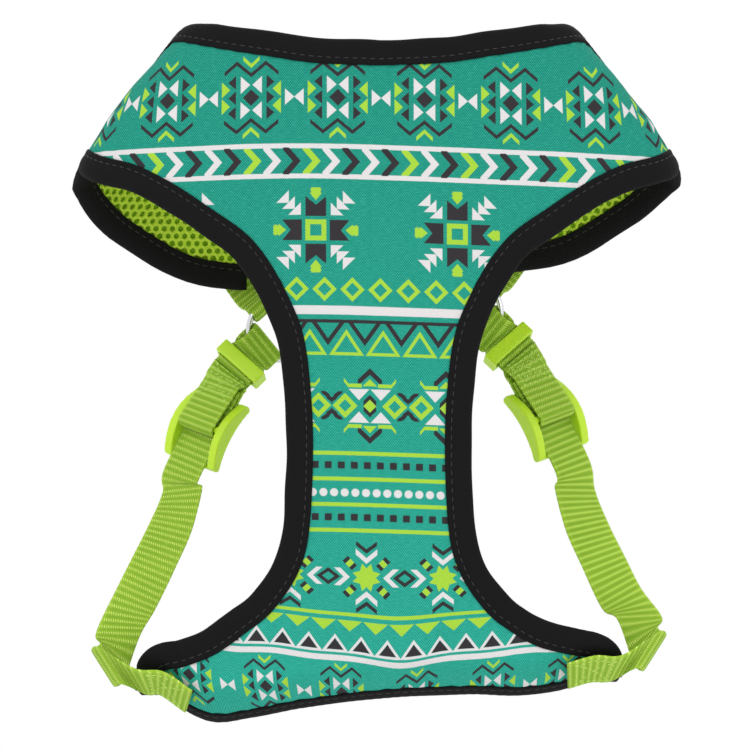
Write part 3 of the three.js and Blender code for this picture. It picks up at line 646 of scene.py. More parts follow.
class Ribbon:
    """Webbing along a route, sampled finely, with a place for anything sewn to it."""

    def __init__(self, pairs, step=0.9, closed=False):
        rows = np.array([[*((a + b) / 2), *(b - a)] for a, b in pairs])
        steps = np.linalg.norm(np.diff(rows[:, :3], axis=0), axis=1)
        self.closed = closed
        fine = spline(rows, max(8, int(steps.sum() / step)))
        if closed:
            fine = fine[:-1]
        self.centre, wide = fine[:, :3], fine[:, 3:]
        self.half = np.linalg.norm(wide, axis=1) / 2
        self.wide = wide / (2 * self.half[:, None])
        if closed:
            along = np.roll(self.centre, -1, 0) - np.roll(self.centre, 1, 0)
        else:
            along = np.gradient(self.centre, axis=0)
        face = np.cross(self.wide, along)
        self.face = face / np.linalg.norm(face, axis=1, keepdims=True)
        gaps = np.linalg.norm(np.diff(self.centre, axis=0), axis=1)
        self.run = np.concatenate([[0], np.cumsum(gaps)])

    def at(self, along, across, height):
        """A point and its face direction, at a length along the ribbon."""
        pick = [np.interp(along, self.run, c) for c in np.hstack([self.centre, self.wide, self.face]).T]
        c, w, n = np.array(pick[:3]), unit(np.array(pick[3:6])), unit(np.array(pick[6:]))
        return c + w * across + n * height, n

    def piece(self, name, thick=THICK, count=26):
        x, y = superellipse(1, thick, count)
        swell = 1 + 0.006 * ripple(self.run, 0 * self.run, 31, len(name))
        rows = [c + w * (x * 2 * h)[:, None] * s + n * y[:, None]
                for c, w, n, h, s in zip(self.centre, self.wide, self.face, self.half, swell)]
        points = np.concatenate(rows)
        across = np.tile(x, len(rows)) * np.repeat(2 * self.half, count)
        uv = np.stack([across, np.repeat(self.run, count)], 1)
        faces = facing_out(points, loft_faces(len(rows), count, self.closed))
        return new_piece(name, points, faces, uv)


# ---- Shader arithmetic ----
class Tap:
    """A shader node's output that takes part in Python arithmetic."""

    def __init__(self, tree, socket):
        self.tree, self.socket = tree, socket

    def node(self, kind, settings=None, inputs=None, output=0):
        return add_node(self.tree, kind, settings, inputs, output)

    def math(self, operation, *others, clamp=False):
        terms = dict(enumerate((self, *others)))
        return self.node("ShaderNodeMath", {"operation": operation, "use_clamp": clamp}, terms)

    def __add__(self, other):
        return self.math("ADD", other)

    def __sub__(self, other):
        return self.math("SUBTRACT", other)

    def __rsub__(self, other):
        return (self * -1) + other

    def __mul__(self, other):
        return self.math("MULTIPLY", other)

    def __truediv__(self, other):
        return self.math("DIVIDE", other)

    def __abs__(self):
        return self.math("ABSOLUTE")

    __radd__ = __add__
    __rmul__ = __mul__

    def least(self, *others):
        out = self
        for other in others:
            out = out.math("MINIMUM", other)
        return out

    def most(self, *others):
        out = self
        for other in others:
            out = out.math("MAXIMUM", other)
        return out

    def fold(self, centre, half_pitch):
        """Distance from the nearest of a row of centres."""
        return (self - centre).math("PINGPONG", half_pitch)

    def band(self, centre, half):
        """How far inside a band this is, and negative outside it."""
        return half - abs(self - centre)

    def share(self, sharpness=5.0):
        """From a distance inside an outline to a mask."""
        return self.math("MULTIPLY_ADD", sharpness, 0.5, clamp=True)

    def sine(self, period):
        return (self * (2 * math.pi / period)).math("SINE")


def add_node(tree, kind, settings=None, inputs=None, output=0):
    made = tree.nodes.new(kind)
    for key, value in (settings or {}).items():
        setattr(made, key, value)
    for key, value in (inputs or {}).items():
        if isinstance(value, Tap):
            tree.links.new(value.socket, made.inputs[key])
        else:
            made.inputs[key].default_value = value
    return Tap(tree, made.outputs[output])


def mixed(mask, a, b):
    """Colour a where mask is 0 and colour b where it is 1."""
    tree = next(t for t in (mask, a, b) if isinstance(t, Tap)).tree
    ends = {0: mask, 6: a, 7: b}
    return add_node(tree, "ShaderNodeMix", {"data_type": "RGBA"}, ends, 2)


def rgb(colour):
    return (*colour, 1.0)


class Finish:
    """A material on a principled shader, with what varies over its surface given as taps."""

    def __init__(self, name):
        self.material = bpy.data.materials.get(name) or bpy.data.materials.new(name)
        self.material.use_nodes = True
        self.tree = self.material.node_tree
        self.tree.nodes.clear()
        out = self.tree.nodes.new("ShaderNodeOutputMaterial")
        self.shader = self.tree.nodes.new("ShaderNodeBsdfPrincipled")
        self.tree.links.new(self.shader.outputs[0], out.inputs[0])

    def uv(self):
        """Millimetres across and along the cloth."""
        at = add_node(self.tree, "ShaderNodeUVMap", {"uv_map": "Cloth"})
        parts = add_node(self.tree, "ShaderNodeSeparateXYZ", None, {0: at})
        return parts, Tap(self.tree, parts.socket.node.outputs[1]), at

    def place(self):
        return add_node(self.tree, "ShaderNodeTexCoord", None, None, 3)

    def noise(self, at, scale, detail=2.0, rough=0.5):
        values = {"Vector": at, "Scale": scale, "Detail": detail, "Roughness": rough}
        return add_node(self.tree, "ShaderNodeTexNoise", None, values)

    def stretched(self, at, sx, sy, sz=1.0):
        values = {0: at, 1: (sx, sy, sz)}
        return add_node(self.tree, "ShaderNodeVectorMath", {"operation": "MULTIPLY"}, values)

    def set(self, **values):
        for key, value in values.items():
            socket = self.shader.inputs[key.replace("_", " ").title().replace("Ior", "IOR")]
            if isinstance(value, Tap):
                self.tree.links.new(value.socket, socket)
            else:
                socket.default_value = value
        return self

    def bump(self, height, depth, strength=1.0):
        """Depth is the height's full range in millimetres."""
        values = {"Height": height, "Distance": depth * MM, "Strength": strength}
        normal = add_node(self.tree, "ShaderNodeBump", None, values)
        self.tree.links.new(normal.socket, self.shader.inputs["Normal"])
        return self


# ---- The print: rows of simple geometric motifs ----
# The numbers in each row are its shapes' own widths and slopes, in millimetres of cloth.
def medallion(x, y):
    """Dark, lime and white distances of the large motif, mirrored both ways."""
    teeth = ((8.3 - x) * 0.87 - y.math("PINGPONG", 2.75)).least(x - 5.5, 8.1 - y)
    zigzag = (0.75 - abs(y - 12.3 + abs(x - 5.2) * 0.82)).least(9.7 - x)
    dark = (3.0 - x - y).most(teeth, zigzag)
    caret = (0.75 - abs(y - 11.3 - x * 0.93)).least(2.9 - x)
    side = ((x - 7.65) * 0.95 - abs(y - 3.0)).least(10.6 - x)
    white = ((x - 0.4) * 0.9 - abs(y - 4.55)).least(3.8 - x)
    return dark, side.most(caret), white


def bow_tie(x, y):
    return (x * 0.88 - y).least(3.3 - x)


def medallion_row(u, v, layout, scale):
    height, middle, spacing = layout
    x = u.fold(middle, spacing) * scale
    y = abs(v - height) * scale
    dark, lime, white = medallion(x, y)
    return dark, lime, white.most(bow_tie(spacing * scale - x, y))


def arrowhead_row(u, v):
    """Arrowheads in three colours between two white lines."""
    y = abs(v - ARROWHEADS)
    s = u + y * 0.88 - ARROW_START
    local = s.math("FLOORED_MODULO", ARROW_PITCH)
    shape = local.band(1.45, 1.45).least(4.8 - y, local - y * 0.88 + 3.4)
    turn = (s / ARROW_PITCH).math("FLOOR").math("FLOORED_MODULO", ARROW_REPEAT)

    def chosen(*turns):
        picked = turn.math("COMPARE", turns[0], 0.1)
        for k in turns[1:]:
            picked = picked + turn.math("COMPARE", k, 0.1)
        return shape.least(picked * 4 - 2)

    lines = 0.85 - abs(y - 5.35)
    return chosen(0, 3, 6), chosen(1, 4), chosen(2, 5, 7).most(lines)


def cross_row(u, v):
    """A square ring with four notched flags, serrated arrows and stepped corners."""
    height, middle, spacing = CROSSES
    x, y = u.fold(middle, spacing), abs(v - height)
    a, b = x.most(y), x.least(y)
    ring = a.band(2.85, 0.85)
    flag = (8.9 - a + b * 0.82).least(3.65 - b, a - 4.9)
    teeth = (a - 10.6).math("FLOORED_MODULO", 1.3) * 0.4
    arrow = (1.5 + teeth - b).least(a - 10.5 - b * 1.2, 15.0 - a)
    corner = [(b - 5.3 - 2.13 * k).least(15.0 + 4.26 * k - a - b) for k in range(3)]
    return flag, ring.most(arrow), corner[0].most(*corner[1:])


def diamond_row(u, v):
    height, middle, spacing = DIAMONDS
    reach = u.fold(middle, spacing) + abs(v - height)
    return reach.band(3.35, 0.95)


def triangle_row(u, v):
    """Dark triangles hanging from a line, and lime ones standing between them."""
    height, middle, spacing = TRIANGLES
    x, y = u.fold(middle, spacing), v - height
    deep = (y - x * 1.39).least(9.0 - y)
    dark = deep.least(2.5 - y + x * 1.39).most(y.band(8.6, 0.6))
    stand = ((5.8 - y) - (spacing - x) * 1.49) * 0.557
    inside = stand.least(y + 3.4)
    return dark, inside.band(0.55, 0.55)


def jewel_row(u, v):
    """A small diamond between white wedges and barred ends, with linked diamonds between."""
    height, middle, spacing = JEWELS
    x, y = u.fold(middle, spacing), abs(v - height)
    sum_xy = x + y
    beside = abs(x - 8.75) + y
    hug = sum_xy.band(3.15, 0.85).least(2.25 - x)
    top = (1.15 - abs(y - 12.2 + x * 0.95)).least(4.3 - x, y - 7.9)
    far = spacing - x
    notch = (y * 0.5).sine(0.9) * 0.18
    cross = (1.05 + notch - abs(y - far - 1.85)).least(5.0 - y)
    bar = (y - (x - 7.6).most(0) * 1.2).band(7.15, 0.65).least(9.2 - x, x - 2.9)
    peak = (9.5 - y - x).least(y - 7.0)
    lime = (2.3 - sum_xy).most(beside.band(3.3, 1.1), bar, peak)
    wedge = ((y - 2.0) * 0.93 - abs(x - 3.85)).least(5.9 - y)
    return hug.most(top, cross), lime, wedge


def stripe_rows(u, v):
    """Four lime lines with squares and dots between them."""
    lines = (0.7 - v.fold(*LIME_LINES)).least(v - LINES_FOOT, LINES_TOP - v)
    height, middle, spacing = DASHES
    squares = 1.25 - u.fold(middle, spacing).most(abs(abs(v - height) - 9.2))
    height, middle, spacing = DOTS
    x, y = u.fold(middle, spacing), v - height
    dots = 1.42 - (x * x + y * y).math("SQRT")
    return squares, lines, dots


def star_row(u, v):
    """Eight-pointed stars between arrow points and hollow diamonds."""
    height, middle, spacing = STARS
    x, y = u.fold(middle, spacing), abs(v - height)
    a, b = x.most(y), x.least(y)
    star = (3.3 + b * 1.03 - a).least((10.3 - a - b * 3.47) * 0.5)
    white_v = (1.0 - abs(y - 5.9 - x * 0.85)).least(3.8 - x)
    dark_v = (0.8 - abs(y - 9.3 - x * 0.75)).least(3.7 - x)
    point_side = (1.1 - abs(x - 7.0 - y * 1.05)).least(3.2 - y)
    far = spacing - x
    hollow = (far * 0.75 + y).band(2.4, 0.75)
    dx, dy = x - 5.9, y - 4.95
    spread, lean = abs(dx + dy), abs(dx - dy)
    seed = (1.35 - spread).least(1.75 - lean)
    husk = (1.85 - lean).least(spread.band(2.35, 0.95))
    return dark_v.most(hollow, husk), star.most(seed), white_v.most(point_side)


def hem_rows(u, v):
    """A sawtooth under a lime line, and white-edged triangles over a white line."""
    height, middle, spacing = SAW_TEETH
    saw = ((v - height) * 1.1 - u.fold(middle, spacing)).least(-188.4 - v)
    height, middle, spacing = HEM_TRIANGLES
    x = u.fold(middle, spacing)
    inside = (((height - v) - x * 1.35) * 0.6).least(v + 200.3)
    upper, lower = HEM_LINES
    white = inside.band(0.45, 0.45).most(v.band(*lower))
    return inside - 0.95, saw.most(v.band(*upper)), white


def print_masks(u, v):
    rows = (
        medallion_row(u, v, MEDALLIONS_HIGH, 1.0),
        arrowhead_row(u, v),
        cross_row(u, v),
        (*triangle_row(u, v), v.band(*WIDE_BAND)),
        jewel_row(u, v),
        stripe_rows(u, v),
        star_row(u, v),
        hem_rows(u, v),
        medallion_row(u, v, MEDALLIONS_LOW, 1.33),
    )
    dark, lime, white = zip(*rows)
    lime = (*lime, diamond_row(u, v))
    return [shapes[0].most(*shapes[1:]).share() for shapes in (dark, lime, white)]


# ---- Settings that a user would change ----
def tint(name, about, default):
    return bpy.props.FloatVectorProperty(
        name=name, description=about, subtype="COLOR", size=3, min=0, max=1, default=default)


def length(name, about, default):
    return bpy.props.FloatProperty(name=name, description=about, default=default, min=0.0)


class HarnessColours(bpy.types.PropertyGroup):
    teal_top: tint("Teal, collar", "Ground colour of the canvas at the collar", (0.0065, 0.235, 0.168))
    teal_low: tint("Teal, belly", "Ground colour of the canvas at the belly", (0.018, 0.36, 0.27))
    ink_white: tint("White ink", "Light colour of the print", (0.66, 0.635, 0.64))
    ink_dark: tint("Charcoal ink", "Dark colour of the print", (0.03, 0.026, 0.03))
    ink_lime: tint("Lime ink", "Lime colour of the print", (0.345, 0.585, 0.045))
    tape: tint("Binding", "Folded tape round the edges", (0.0042, 0.0042, 0.0048))
    webbing: tint("Webbing", "Straps and tabs", (0.41, 0.645, 0.046))
    # Darker webbing colour painted into the grooves between the ribs as painted shade.
    webbing_groove_shade: tint("Webbing, grooves", "Straps between their ribs", (0.125, 0.275, 0.006))
    plastic: tint("Plastic", "Sliders, keepers and buckle", (0.50, 0.76, 0.025))
    mesh: tint("Air mesh", "Strands of the lining", (0.62, 0.86, 0.07))
    # The ground behind the strands is coloured darker as painted shade in the net's holes.
    mesh_ground_shade: tint("Air mesh, ground", "Cloth behind the lining's strands", (0.24, 0.44, 0.016))
    steel: tint("Rings", "Plated wire", (0.72, 0.73, 0.75))


class HarnessSizes(bpy.types.PropertyGroup):
    weave: length("Canvas weave", "Pitch of the canvas threads in millimetres", 0.84)
    rib: length("Webbing rib", "Pitch of the webbing's ribs in millimetres", 2.45)
    cell: length("Mesh cell", "Pitch of the lining's cells in millimetres", 3.1)
    strand: length("Mesh strand", "Radius of the lining's strands in millimetres", 0.74)
    stitch: length("Stitch", "Length of a stitch in millimetres", 2.2)
    pitch: length("Stitch pitch", "From one stitch to the next in millimetres", 3.1)
    thread: length("Thread", "Radius of the sewing thread in millimetres", 0.2)
    pucker: length("Pucker", "How much the sewn edges pull the cloth in millimetres", 0.28)


def colours():
    return bpy.context.scene.harness_colours


def sizes():
    return bpy.context.scene.harness_sizes


# ---- Finishes ----
def canvas_finish():
    c, s = colours(), sizes()
    finish = Finish("Printed canvas")
    u, v, at = finish.uv()
    fade = (v * (-1 / 215)).math("MULTIPLY", 1.0, clamp=True)
    ground = mixed(fade, rgb(c.teal_top), rgb(c.teal_low))
    blotch = finish.noise(at, 0.06, 3.0)
    slub = finish.noise(finish.stretched(at, 0.45, 2.6), 1.0, 2.0, 0.7)
    ground = mixed(blotch * 0.3, ground, rgb([0.82 * k for k in c.teal_top]))
    fleck = ((slub - 0.55) * 5).math("MULTIPLY", 1.0, clamp=True)
    ground = mixed(fleck * 0.35, ground, rgb((0.08, 0.50, 0.38)))
    pit = ((0.43 - slub) * 6).math("MULTIPLY", 1.0, clamp=True)
    ground = mixed(pit * 0.4, ground, rgb((0.006, 0.17, 0.12)))
    knots = u.sine(s.weave) * v.sine(s.weave * 1.25)
    over = ((knots + slub - 0.75) * 1.6).math("MULTIPLY", 1.0, clamp=True)
    under = ((slub * -1 - knots + 0.2) * 1.6).math("MULTIPLY", 1.0, clamp=True)
    ground = mixed(over * 0.6, ground, rgb((0.08, 0.54, 0.41)))
    ground = mixed(under * 0.6, ground, rgb((0.004, 0.14, 0.10)))
    wobble = (slub - 0.5) * 0.22
    low = ((v + 178) * (-1 / 30)).math("MULTIPLY", 1.0, clamp=True)
    wave = low * u.sine(31) * 0.55
    dark, lime, white = print_masks(u + wobble, v + wobble + wave)
    colour = mixed(lime, ground, rgb(c.ink_lime))
    colour = mixed(white, colour, rgb(c.ink_white))
    colour = mixed(dark, colour, rgb(c.ink_dark))
    worn = (finish.noise(at, 3.1, 2.0) - 0.62) * 1.2
    colour = mixed(worn.math("MAXIMUM", 0.0), colour, ground)
    height = knots * 0.5 + v.sine(s.weave / 2) * 0.2 + slub * 0.8
    ink = lime.most(white, dark)
    finish.set(base_color=colour, roughness=0.86 - ink * 0.12, specular_ior_level=0.12)
    finish.bump(height * 0.5, 0.16)
    return finish.material


def mesh_finish(name, low):
    c = colours()
    finish = Finish(name)
    at = finish.place()
    fuzz = finish.noise(at, 1400, 2.0)
    drift = finish.noise(at, 40, 2.0)
    # The lining's ground takes the darker colour, painted shade for the net's holes; the strands keep the
    # lighter one.
    first = c.mesh_ground_shade if low else c.mesh
    shade = mixed(fuzz * 0.5 + drift * 0.25, rgb(first), rgb([0.62 * k for k in first]))
    finish.set(base_color=shade, roughness=0.9, specular_ior_level=0.2)
    finish.bump(fuzz, 0.12)
    return finish.material


def tape_finish():
    c = colours()
    finish = Finish("Folded tape")
    u, v, at = finish.uv()
    rib = v.sine(0.7) * 0.5 + u.sine(0.9) * 0.25
    fuzz = finish.noise(at, 1.7, 3.0)
    lint = ((finish.noise(at, 0.9, 3.0, 0.75) - 0.735) * 22).math("MULTIPLY", 1.0, clamp=True)
    shade = mixed(fuzz * 0.55, rgb(c.tape), rgb((0.0095, 0.0095, 0.0105)))
    shade = mixed(lint, shade, rgb((0.11, 0.105, 0.09)))
    finish.set(base_color=shade, roughness=0.9 - fuzz * 0.12, specular_ior_level=0.12)
    finish.bump(rib * 0.35 + fuzz, 0.12)
    return finish.material


def webbing_finish():
    c, s = colours(), sizes()
    finish = Finish("Ribbed webbing")
    u, v, at = finish.uv()
    rib = v.sine(s.rib) * 0.5 + 0.5
    slant = (u + v * 0.42).sine(0.82) * 0.5 + 0.5
    fuzz = finish.noise(at, 2.2, 3.0, 0.6)
    slow = finish.noise(at, 0.09, 2.0)
    selvedge = (abs(u) - 6.9).share(1.2)
    raised = rib * (slant * 0.65 + 0.35)
    # The grooves between the ribs get the darker colour as painted shade and the raised ribs the lighter
    # one; the glint below is a painted highlight on the rib tops.
    rib_shading_and_fuzz = (raised * 0.95 + fuzz * 0.35).math("MULTIPLY", 1.0, clamp=True)
    shade = mixed(rib_shading_and_fuzz, rgb(c.webbing_groove_shade), rgb(c.webbing))
    shade = mixed(slow * 0.25 + selvedge * 0.2, shade, rgb((0.47, 0.70, 0.06)))
    glint = ((raised + fuzz * 0.5 - 0.85) * 4).math("MULTIPLY", 1.0, clamp=True)
    shade = mixed(glint * 0.85, shade, rgb((0.68, 0.88, 0.20)))
    finish.set(base_color=shade, roughness=0.62 + fuzz * 0.2, specular_ior_level=0.3)
    finish.bump(raised + fuzz * 0.25, 0.42)
    return finish.material


def plastic_finish():
    c = colours()
    finish = Finish("Moulded plastic")
    at = finish.place()
    cloud = finish.noise(at, 70, 2.0)
    grain = finish.noise(at, 900, 2.0)
    shade = mixed(cloud * 0.5, rgb(c.plastic), rgb([k * 0.86 for k in c.plastic]))
    finish.set(base_color=shade, roughness=0.34 + grain * 0.16, specular_ior_level=0.45,
               subsurface_weight=0.12, subsurface_scale=0.004)
    finish.bump(grain, 0.02)
    return finish.material


def steel_finish():
    c = colours()
    finish = Finish("Plated wire")
    at = finish.place()
    brush = finish.noise(at, 500, 3.0)
    haze = finish.noise(at, 60, 2.0)
    shade = mixed(haze * 0.5, rgb(c.steel), rgb([k * 0.8 for k in c.steel]))
    finish.set(base_color=shade, metallic=1.0, roughness=0.14 + brush * 0.14)
    finish.bump(brush, 0.01)
    return finish.material


def thread_finish(name, colour):
    finish = Finish(name)
    at = finish.place()
    twist = finish.noise(at, 2500, 1.0)
    shade = mixed(twist * 0.7, rgb(colour), rgb([k * 0.6 for k in colour]))
    finish.set(base_color=shade, roughness=0.6, sheen_weight=0.1)
    finish.bump(twist, 0.05)
    return finish.material


# ---- Geometry Nodes ----
def node_group(name, inputs):
    """A tree with a mesh in, a mesh out and named inputs, and a short way to add to it."""
    tree = bpy.data.node_groups.new(name, "GeometryNodeTree")
    tree.interface.new_socket("Geometry", in_out="INPUT", socket_type="NodeSocketGeometry")
    for label, kind in inputs:
        tree.interface.new_socket(label, in_out="INPUT", socket_type=kind)
    tree.interface.new_socket("Geometry", in_out="OUTPUT", socket_type="NodeSocketGeometry")
    source = tree.nodes.new("NodeGroupInput")
    sink = tree.nodes.new("NodeGroupOutput")
    taps = {s.name: Tap(tree, s) for s in source.outputs if s.name}
    return tree, taps, sink


def stitch_tree():
    """Stitches along a line whose points carry the direction off the cloth."""
    tree, given, sink = node_group("Stitches along a line", (
        ("Pitch", "NodeSocketFloat"), ("Length", "NodeSocketFloat"),
        ("Radius", "NodeSocketFloat"), ("Thread", "NodeSocketMaterial")))
    line = add_node(tree, "GeometryNodeMeshToCurve", None, {0: given["Geometry"]})
    even = add_node(tree, "GeometryNodeResampleCurve", {"mode": "LENGTH"},
                    {"Curve": line, "Length": given["Pitch"]})
    tangent = add_node(tree, "GeometryNodeInputTangent")
    off = add_node(tree, "GeometryNodeInputNamedAttribute", {"data_type": "FLOAT_VECTOR"},
                   {"Name": "off"})
    run = add_node(tree, "FunctionNodeAlignRotationToVector", {"axis": "X"}, {"Vector": tangent})
    turn = add_node(tree, "FunctionNodeAlignRotationToVector", {"axis": "Z", "pivot_axis": "X"},
                    {"Rotation": run, "Vector": off})
    ball = add_node(tree, "GeometryNodeMeshUVSphere", None,
                    {"Segments": 8, "Rings": 5, "Radius": 1.0})
    size = add_node(tree, "ShaderNodeCombineXYZ", None,
                    {0: given["Length"] * 0.5, 1: given["Radius"], 2: given["Radius"]})
    stitch = add_node(tree, "GeometryNodeTransform", None, {"Geometry": ball, "Scale": size})
    spread = add_node(tree, "GeometryNodeInstanceOnPoints", None,
                      {"Points": even, "Instance": stitch, "Rotation": turn})
    real = add_node(tree, "GeometryNodeRealizeInstances", None, {0: spread})
    soft = add_node(tree, "GeometryNodeSetShadeSmooth", None, {0: real})
    done = add_node(tree, "GeometryNodeSetMaterial", None,
                    {"Geometry": soft, "Material": given["Thread"]})
    tree.links.new(done.socket, sink.inputs[0])
    return tree


def strand_tree():
    """Round strands along every edge of a net."""
    tree, given, sink = node_group("Strands of a net", (
        ("Radius", "NodeSocketFloat"), ("Yarn", "NodeSocketMaterial")))
    lines = add_node(tree, "GeometryNodeMeshToCurve", None, {0: given["Geometry"]})
    ring = add_node(tree, "GeometryNodeCurvePrimitiveCircle", None,
                    {"Resolution": 5, "Radius": given["Radius"]})
    tubes = add_node(tree, "GeometryNodeCurveToMesh", None, {"Curve": lines, "Profile Curve": ring})
    real = add_node(tree, "GeometryNodeRealizeInstances", None, {0: tubes})
    soft = add_node(tree, "GeometryNodeSetShadeSmooth", None, {0: real})
    done = add_node(tree, "GeometryNodeSetMaterial", None,
                    {"Geometry": soft, "Material": given["Yarn"]})
    tree.links.new(done.socket, sink.inputs[0])
    return tree


def grown(source, tree, values):
    """What a tree makes of an object's mesh, as a plain mesh object of the same name."""
    modifier = source.modifiers.new(tree.name, "NODES")
    modifier.node_group = tree
    for item in tree.interface.items_tree:
        if item.item_type == "SOCKET" and item.in_out == "INPUT" and item.name in values:
            modifier[item.identifier] = values[item.name]
    source.update_tag()
    depsgraph = bpy.context.evaluated_depsgraph_get()
    mesh = bpy.data.meshes.new_from_object(source.evaluated_get(depsgraph))
    name = source.name
    bpy.data.objects.remove(source)
    made = bpy.data.objects.new(name, mesh)
    mesh.name = name
    bpy.context.scene.collection.objects.link(made)
    return made


def line_object(name, lines, offs):
    """Loose polylines as one mesh, with the direction off the cloth at each point."""
    points, edges, directions = [], [], []
    for line, off in zip(lines, offs):
        start = len(points)
        points.extend(line)
        directions.extend(off)
        edges.extend((start + i, start + i + 1) for i in range(len(line) - 1))
    mesh = bpy.data.meshes.new(name)
    mesh.from_pydata((np.array(points) * MM).tolist(), edges, [])
    layer = mesh.attributes.new("off", "FLOAT_VECTOR", "POINT")
    layer.data.foreach_set("vector", np.array(directions, np.float32).ravel())
    made = bpy.data.objects.new(name, mesh)
    bpy.context.scene.collection.objects.link(made)
    return made


# ---- Operators: one for each group of pieces ----
def puckers(points, u, z):
    """How far the sewn cloth stands off its even form."""
    off = edge_distance(points)
    near = np.exp(-off / PUCKER_REACH) * smooth(off, 0.0, 1.2)
    tight = sizes().pucker * near * np.sin((u - PUCKER_LEAN * z) * 2 * math.pi / PUCKER_PITCH)
    free = smooth(off, 2, 16)
    low = smooth(-z, 170, 200)
    return tight + free * (0.55 * ripple(u, z, 62, 0.4) + 0.35 * low * ripple(u, z, 33, 1.3))


class HARNESS_OT_shell(bpy.types.Operator):
    """Cuts the printed canvas shell and lays it on the form"""

    bl_idname = "harness.shell"
    bl_label = "Canvas Shell"
    bl_options = {"REGISTER", "UNDO"}

    def execute(self, context):
        turn, z, quads = cloth_grid()
        u = across_of(turn, z, across_table())
        middle = on_form(turn, z)
        face = normal_at(turn, z)
        raised = puckers(middle, u, z)
        n = len(turn)
        points = np.vstack([middle + face * raised[:, None], middle + face * (raised - SHELL)[:, None]])
        uv = np.tile(np.stack([u, print_height(u, z)], 1), (2, 1))
        faces = [tuple(q) for q in quads] + [tuple(q[::-1] + n) for q in quads]
        faces += rim(quads, n)
        piece = new_piece("printed_shell", points, facing_out(points, faces), uv)
        finished(piece, canvas_finish(), "canvas", "vest", "chest_shell")
        area = cut_area(middle, quads) * MM**2
        return {"FINISHED"}


def rim(quads, n):
    """Faces that close a sheet's two sides along its free edges."""
    count = {}
    for q in quads:
        for a, b in zip(q, np.roll(q, -1)):
            if (b, a) in count:
                count.pop((b, a))
            else:
                count[(a, b)] = True
    return [(b, a, a + n, b + n) for a, b in count]


def cut_area(points, quads):
    a, b, c, d = (points[quads[:, k]] for k in range(4))
    return float(np.linalg.norm(np.cross(c - a, d - b), axis=1).sum() / 2)


def outline_places(table):
    """The cut's outline as length across and height."""
    neck, hem = neck_line(2)[1:-1], hem_line(2)[1:-1]
    left, right = leg_line(-1, 2)[:-1], leg_line(1, 2)[:-1]
    whole = np.vstack([neck, right[::-1], hem[::-1], left])
    return np.stack([across_of(whole[:, 0], whole[:, 1], table), whole[:, 1]], 1)


def inside_outline(outline, places, margin):
    """Which places lie inside an outline, or within a margin of it."""
    a, b = outline, np.roll(outline, -1, 0)
    x, y = places[:, None, 0], places[:, None, 1]
    spans = (a[None, :, 1] > y) != (b[None, :, 1] > y)
    rise = np.where(b[:, 1] == a[:, 1], 1e-9, b[:, 1] - a[:, 1])
    hits = spans & (x < (b[:, 0] - a[:, 0]) * (y - a[:, 1]) / rise + a[:, 0])
    near = np.sqrt(((places[:, None] - a[None]) ** 2).sum(2)).min(1) < margin
    return (hits.sum(1) % 2 == 1) | near


def net_places(cell, outline):
    """Corners and edges of a net of six-sided cells over the outline's box."""
    low, high = outline.min(0) - cell, outline.max(0) + cell
    side = cell / math.sqrt(3)
    places, edges, index = [], set(), {}
    for row in range(int((high[1] - low[1]) / (1.5 * side)) + 1):
        for column in range(int((high[0] - low[0]) / cell) + 1):
            cx = low[0] + (column + 0.5 * (row % 2)) * cell
            cy = low[1] + row * 1.5 * side
            ring = []
            for k in range(6):
                a = math.radians(60 * k + 30)
                p = (cx + side * math.cos(a), cy + side * math.sin(a))
                key = (round(p[0] * 20), round(p[1] * 20))
                near = next((index[(key[0] + i, key[1] + j)] for i in (0, -1, 1) for j in (0, -1, 1)
                             if (key[0] + i, key[1] + j) in index), None)
                if near is None:
                    near = index[key] = len(places)
                    places.append(p)
                ring.append(near)
            edges.update(tuple(sorted(e)) for e in zip(ring, ring[1:] + ring[:1]))
    return np.array(places), np.array(sorted(edges))


def turn_at(u, z, table):
    """The turn at a length across the cloth."""
    heights, turns, run = table
    i = np.clip(np.searchsorted(heights, z) - 1, 0, len(heights) - 2)
    f = (z - heights[i]) / (heights[i + 1] - heights[i])
    return np.array([np.interp(a, run[k] * (1 - g) + run[k + 1] * g, turns)
                     for a, k, g in zip(u, i, f)])


class HARNESS_OT_lining(bpy.types.Operator):
    """Lays the lime lining: a soft ground with an open net of strands over it"""

    bl_idname = "harness.lining"
    bl_label = "Mesh Lining"
    bl_options = {"REGISTER", "UNDO"}

    def execute(self, context):
        turn, z, quads = cloth_grid(4)
        table = across_table()
        u = across_of(turn, z, table)
        middle, face = on_form(turn, z), normal_at(turn, z)
        raised = puckers(middle, u, z)
        n = len(turn)
        top = SHELL + APART
        points = np.vstack([middle + face * (raised - k)[:, None] for k in (top, top + GROUND)])
        uv = np.tile(np.stack([u, z], 1), (2, 1))
        faces = [tuple(q) for q in quads] + [tuple(q[::-1] + n) for q in quads] + rim(quads, n)
        ground = new_piece("lining_ground", points, facing_out(points, faces), uv)
        finished(ground, mesh_finish("Lining ground", True), "air_mesh", "vest", "chest_lining")
        area = cut_area(middle, quads) * MM**2
        self.net(table)
        return {"FINISHED"}

    def net(self, table):
        s = sizes()
        outline = outline_places(table)
        places, edges = net_places(s.cell, outline)
        keep = np.concatenate([inside_outline(outline, part, 1.2)
                               for part in np.array_split(places, 8)])
        edges = edges[keep[edges].all(1)]
        used = np.unique(edges)
        renamed = np.full(len(places), -1)
        renamed[used] = np.arange(len(used))
        u, z = places[used].T
        turn = turn_at(u, z, table)
        middle = on_form(turn, z)
        height = puckers(middle, u, z) - (STACK - s.strand * 0.9)
        at = middle + normal_at(turn, z) * height[:, None]
        mesh = bpy.data.meshes.new("lining_net")
        mesh.from_pydata((at * MM).tolist(), renamed[edges].tolist(), [])
        source = bpy.data.objects.new("lining_net", mesh)
        bpy.context.scene.collection.objects.link(source)
        yarn = mesh_finish("Lining strands", False)
        net = grown(source, strand_tree(), {"Radius": s.strand * MM, "Yarn": yarn})
        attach(net, "vest")


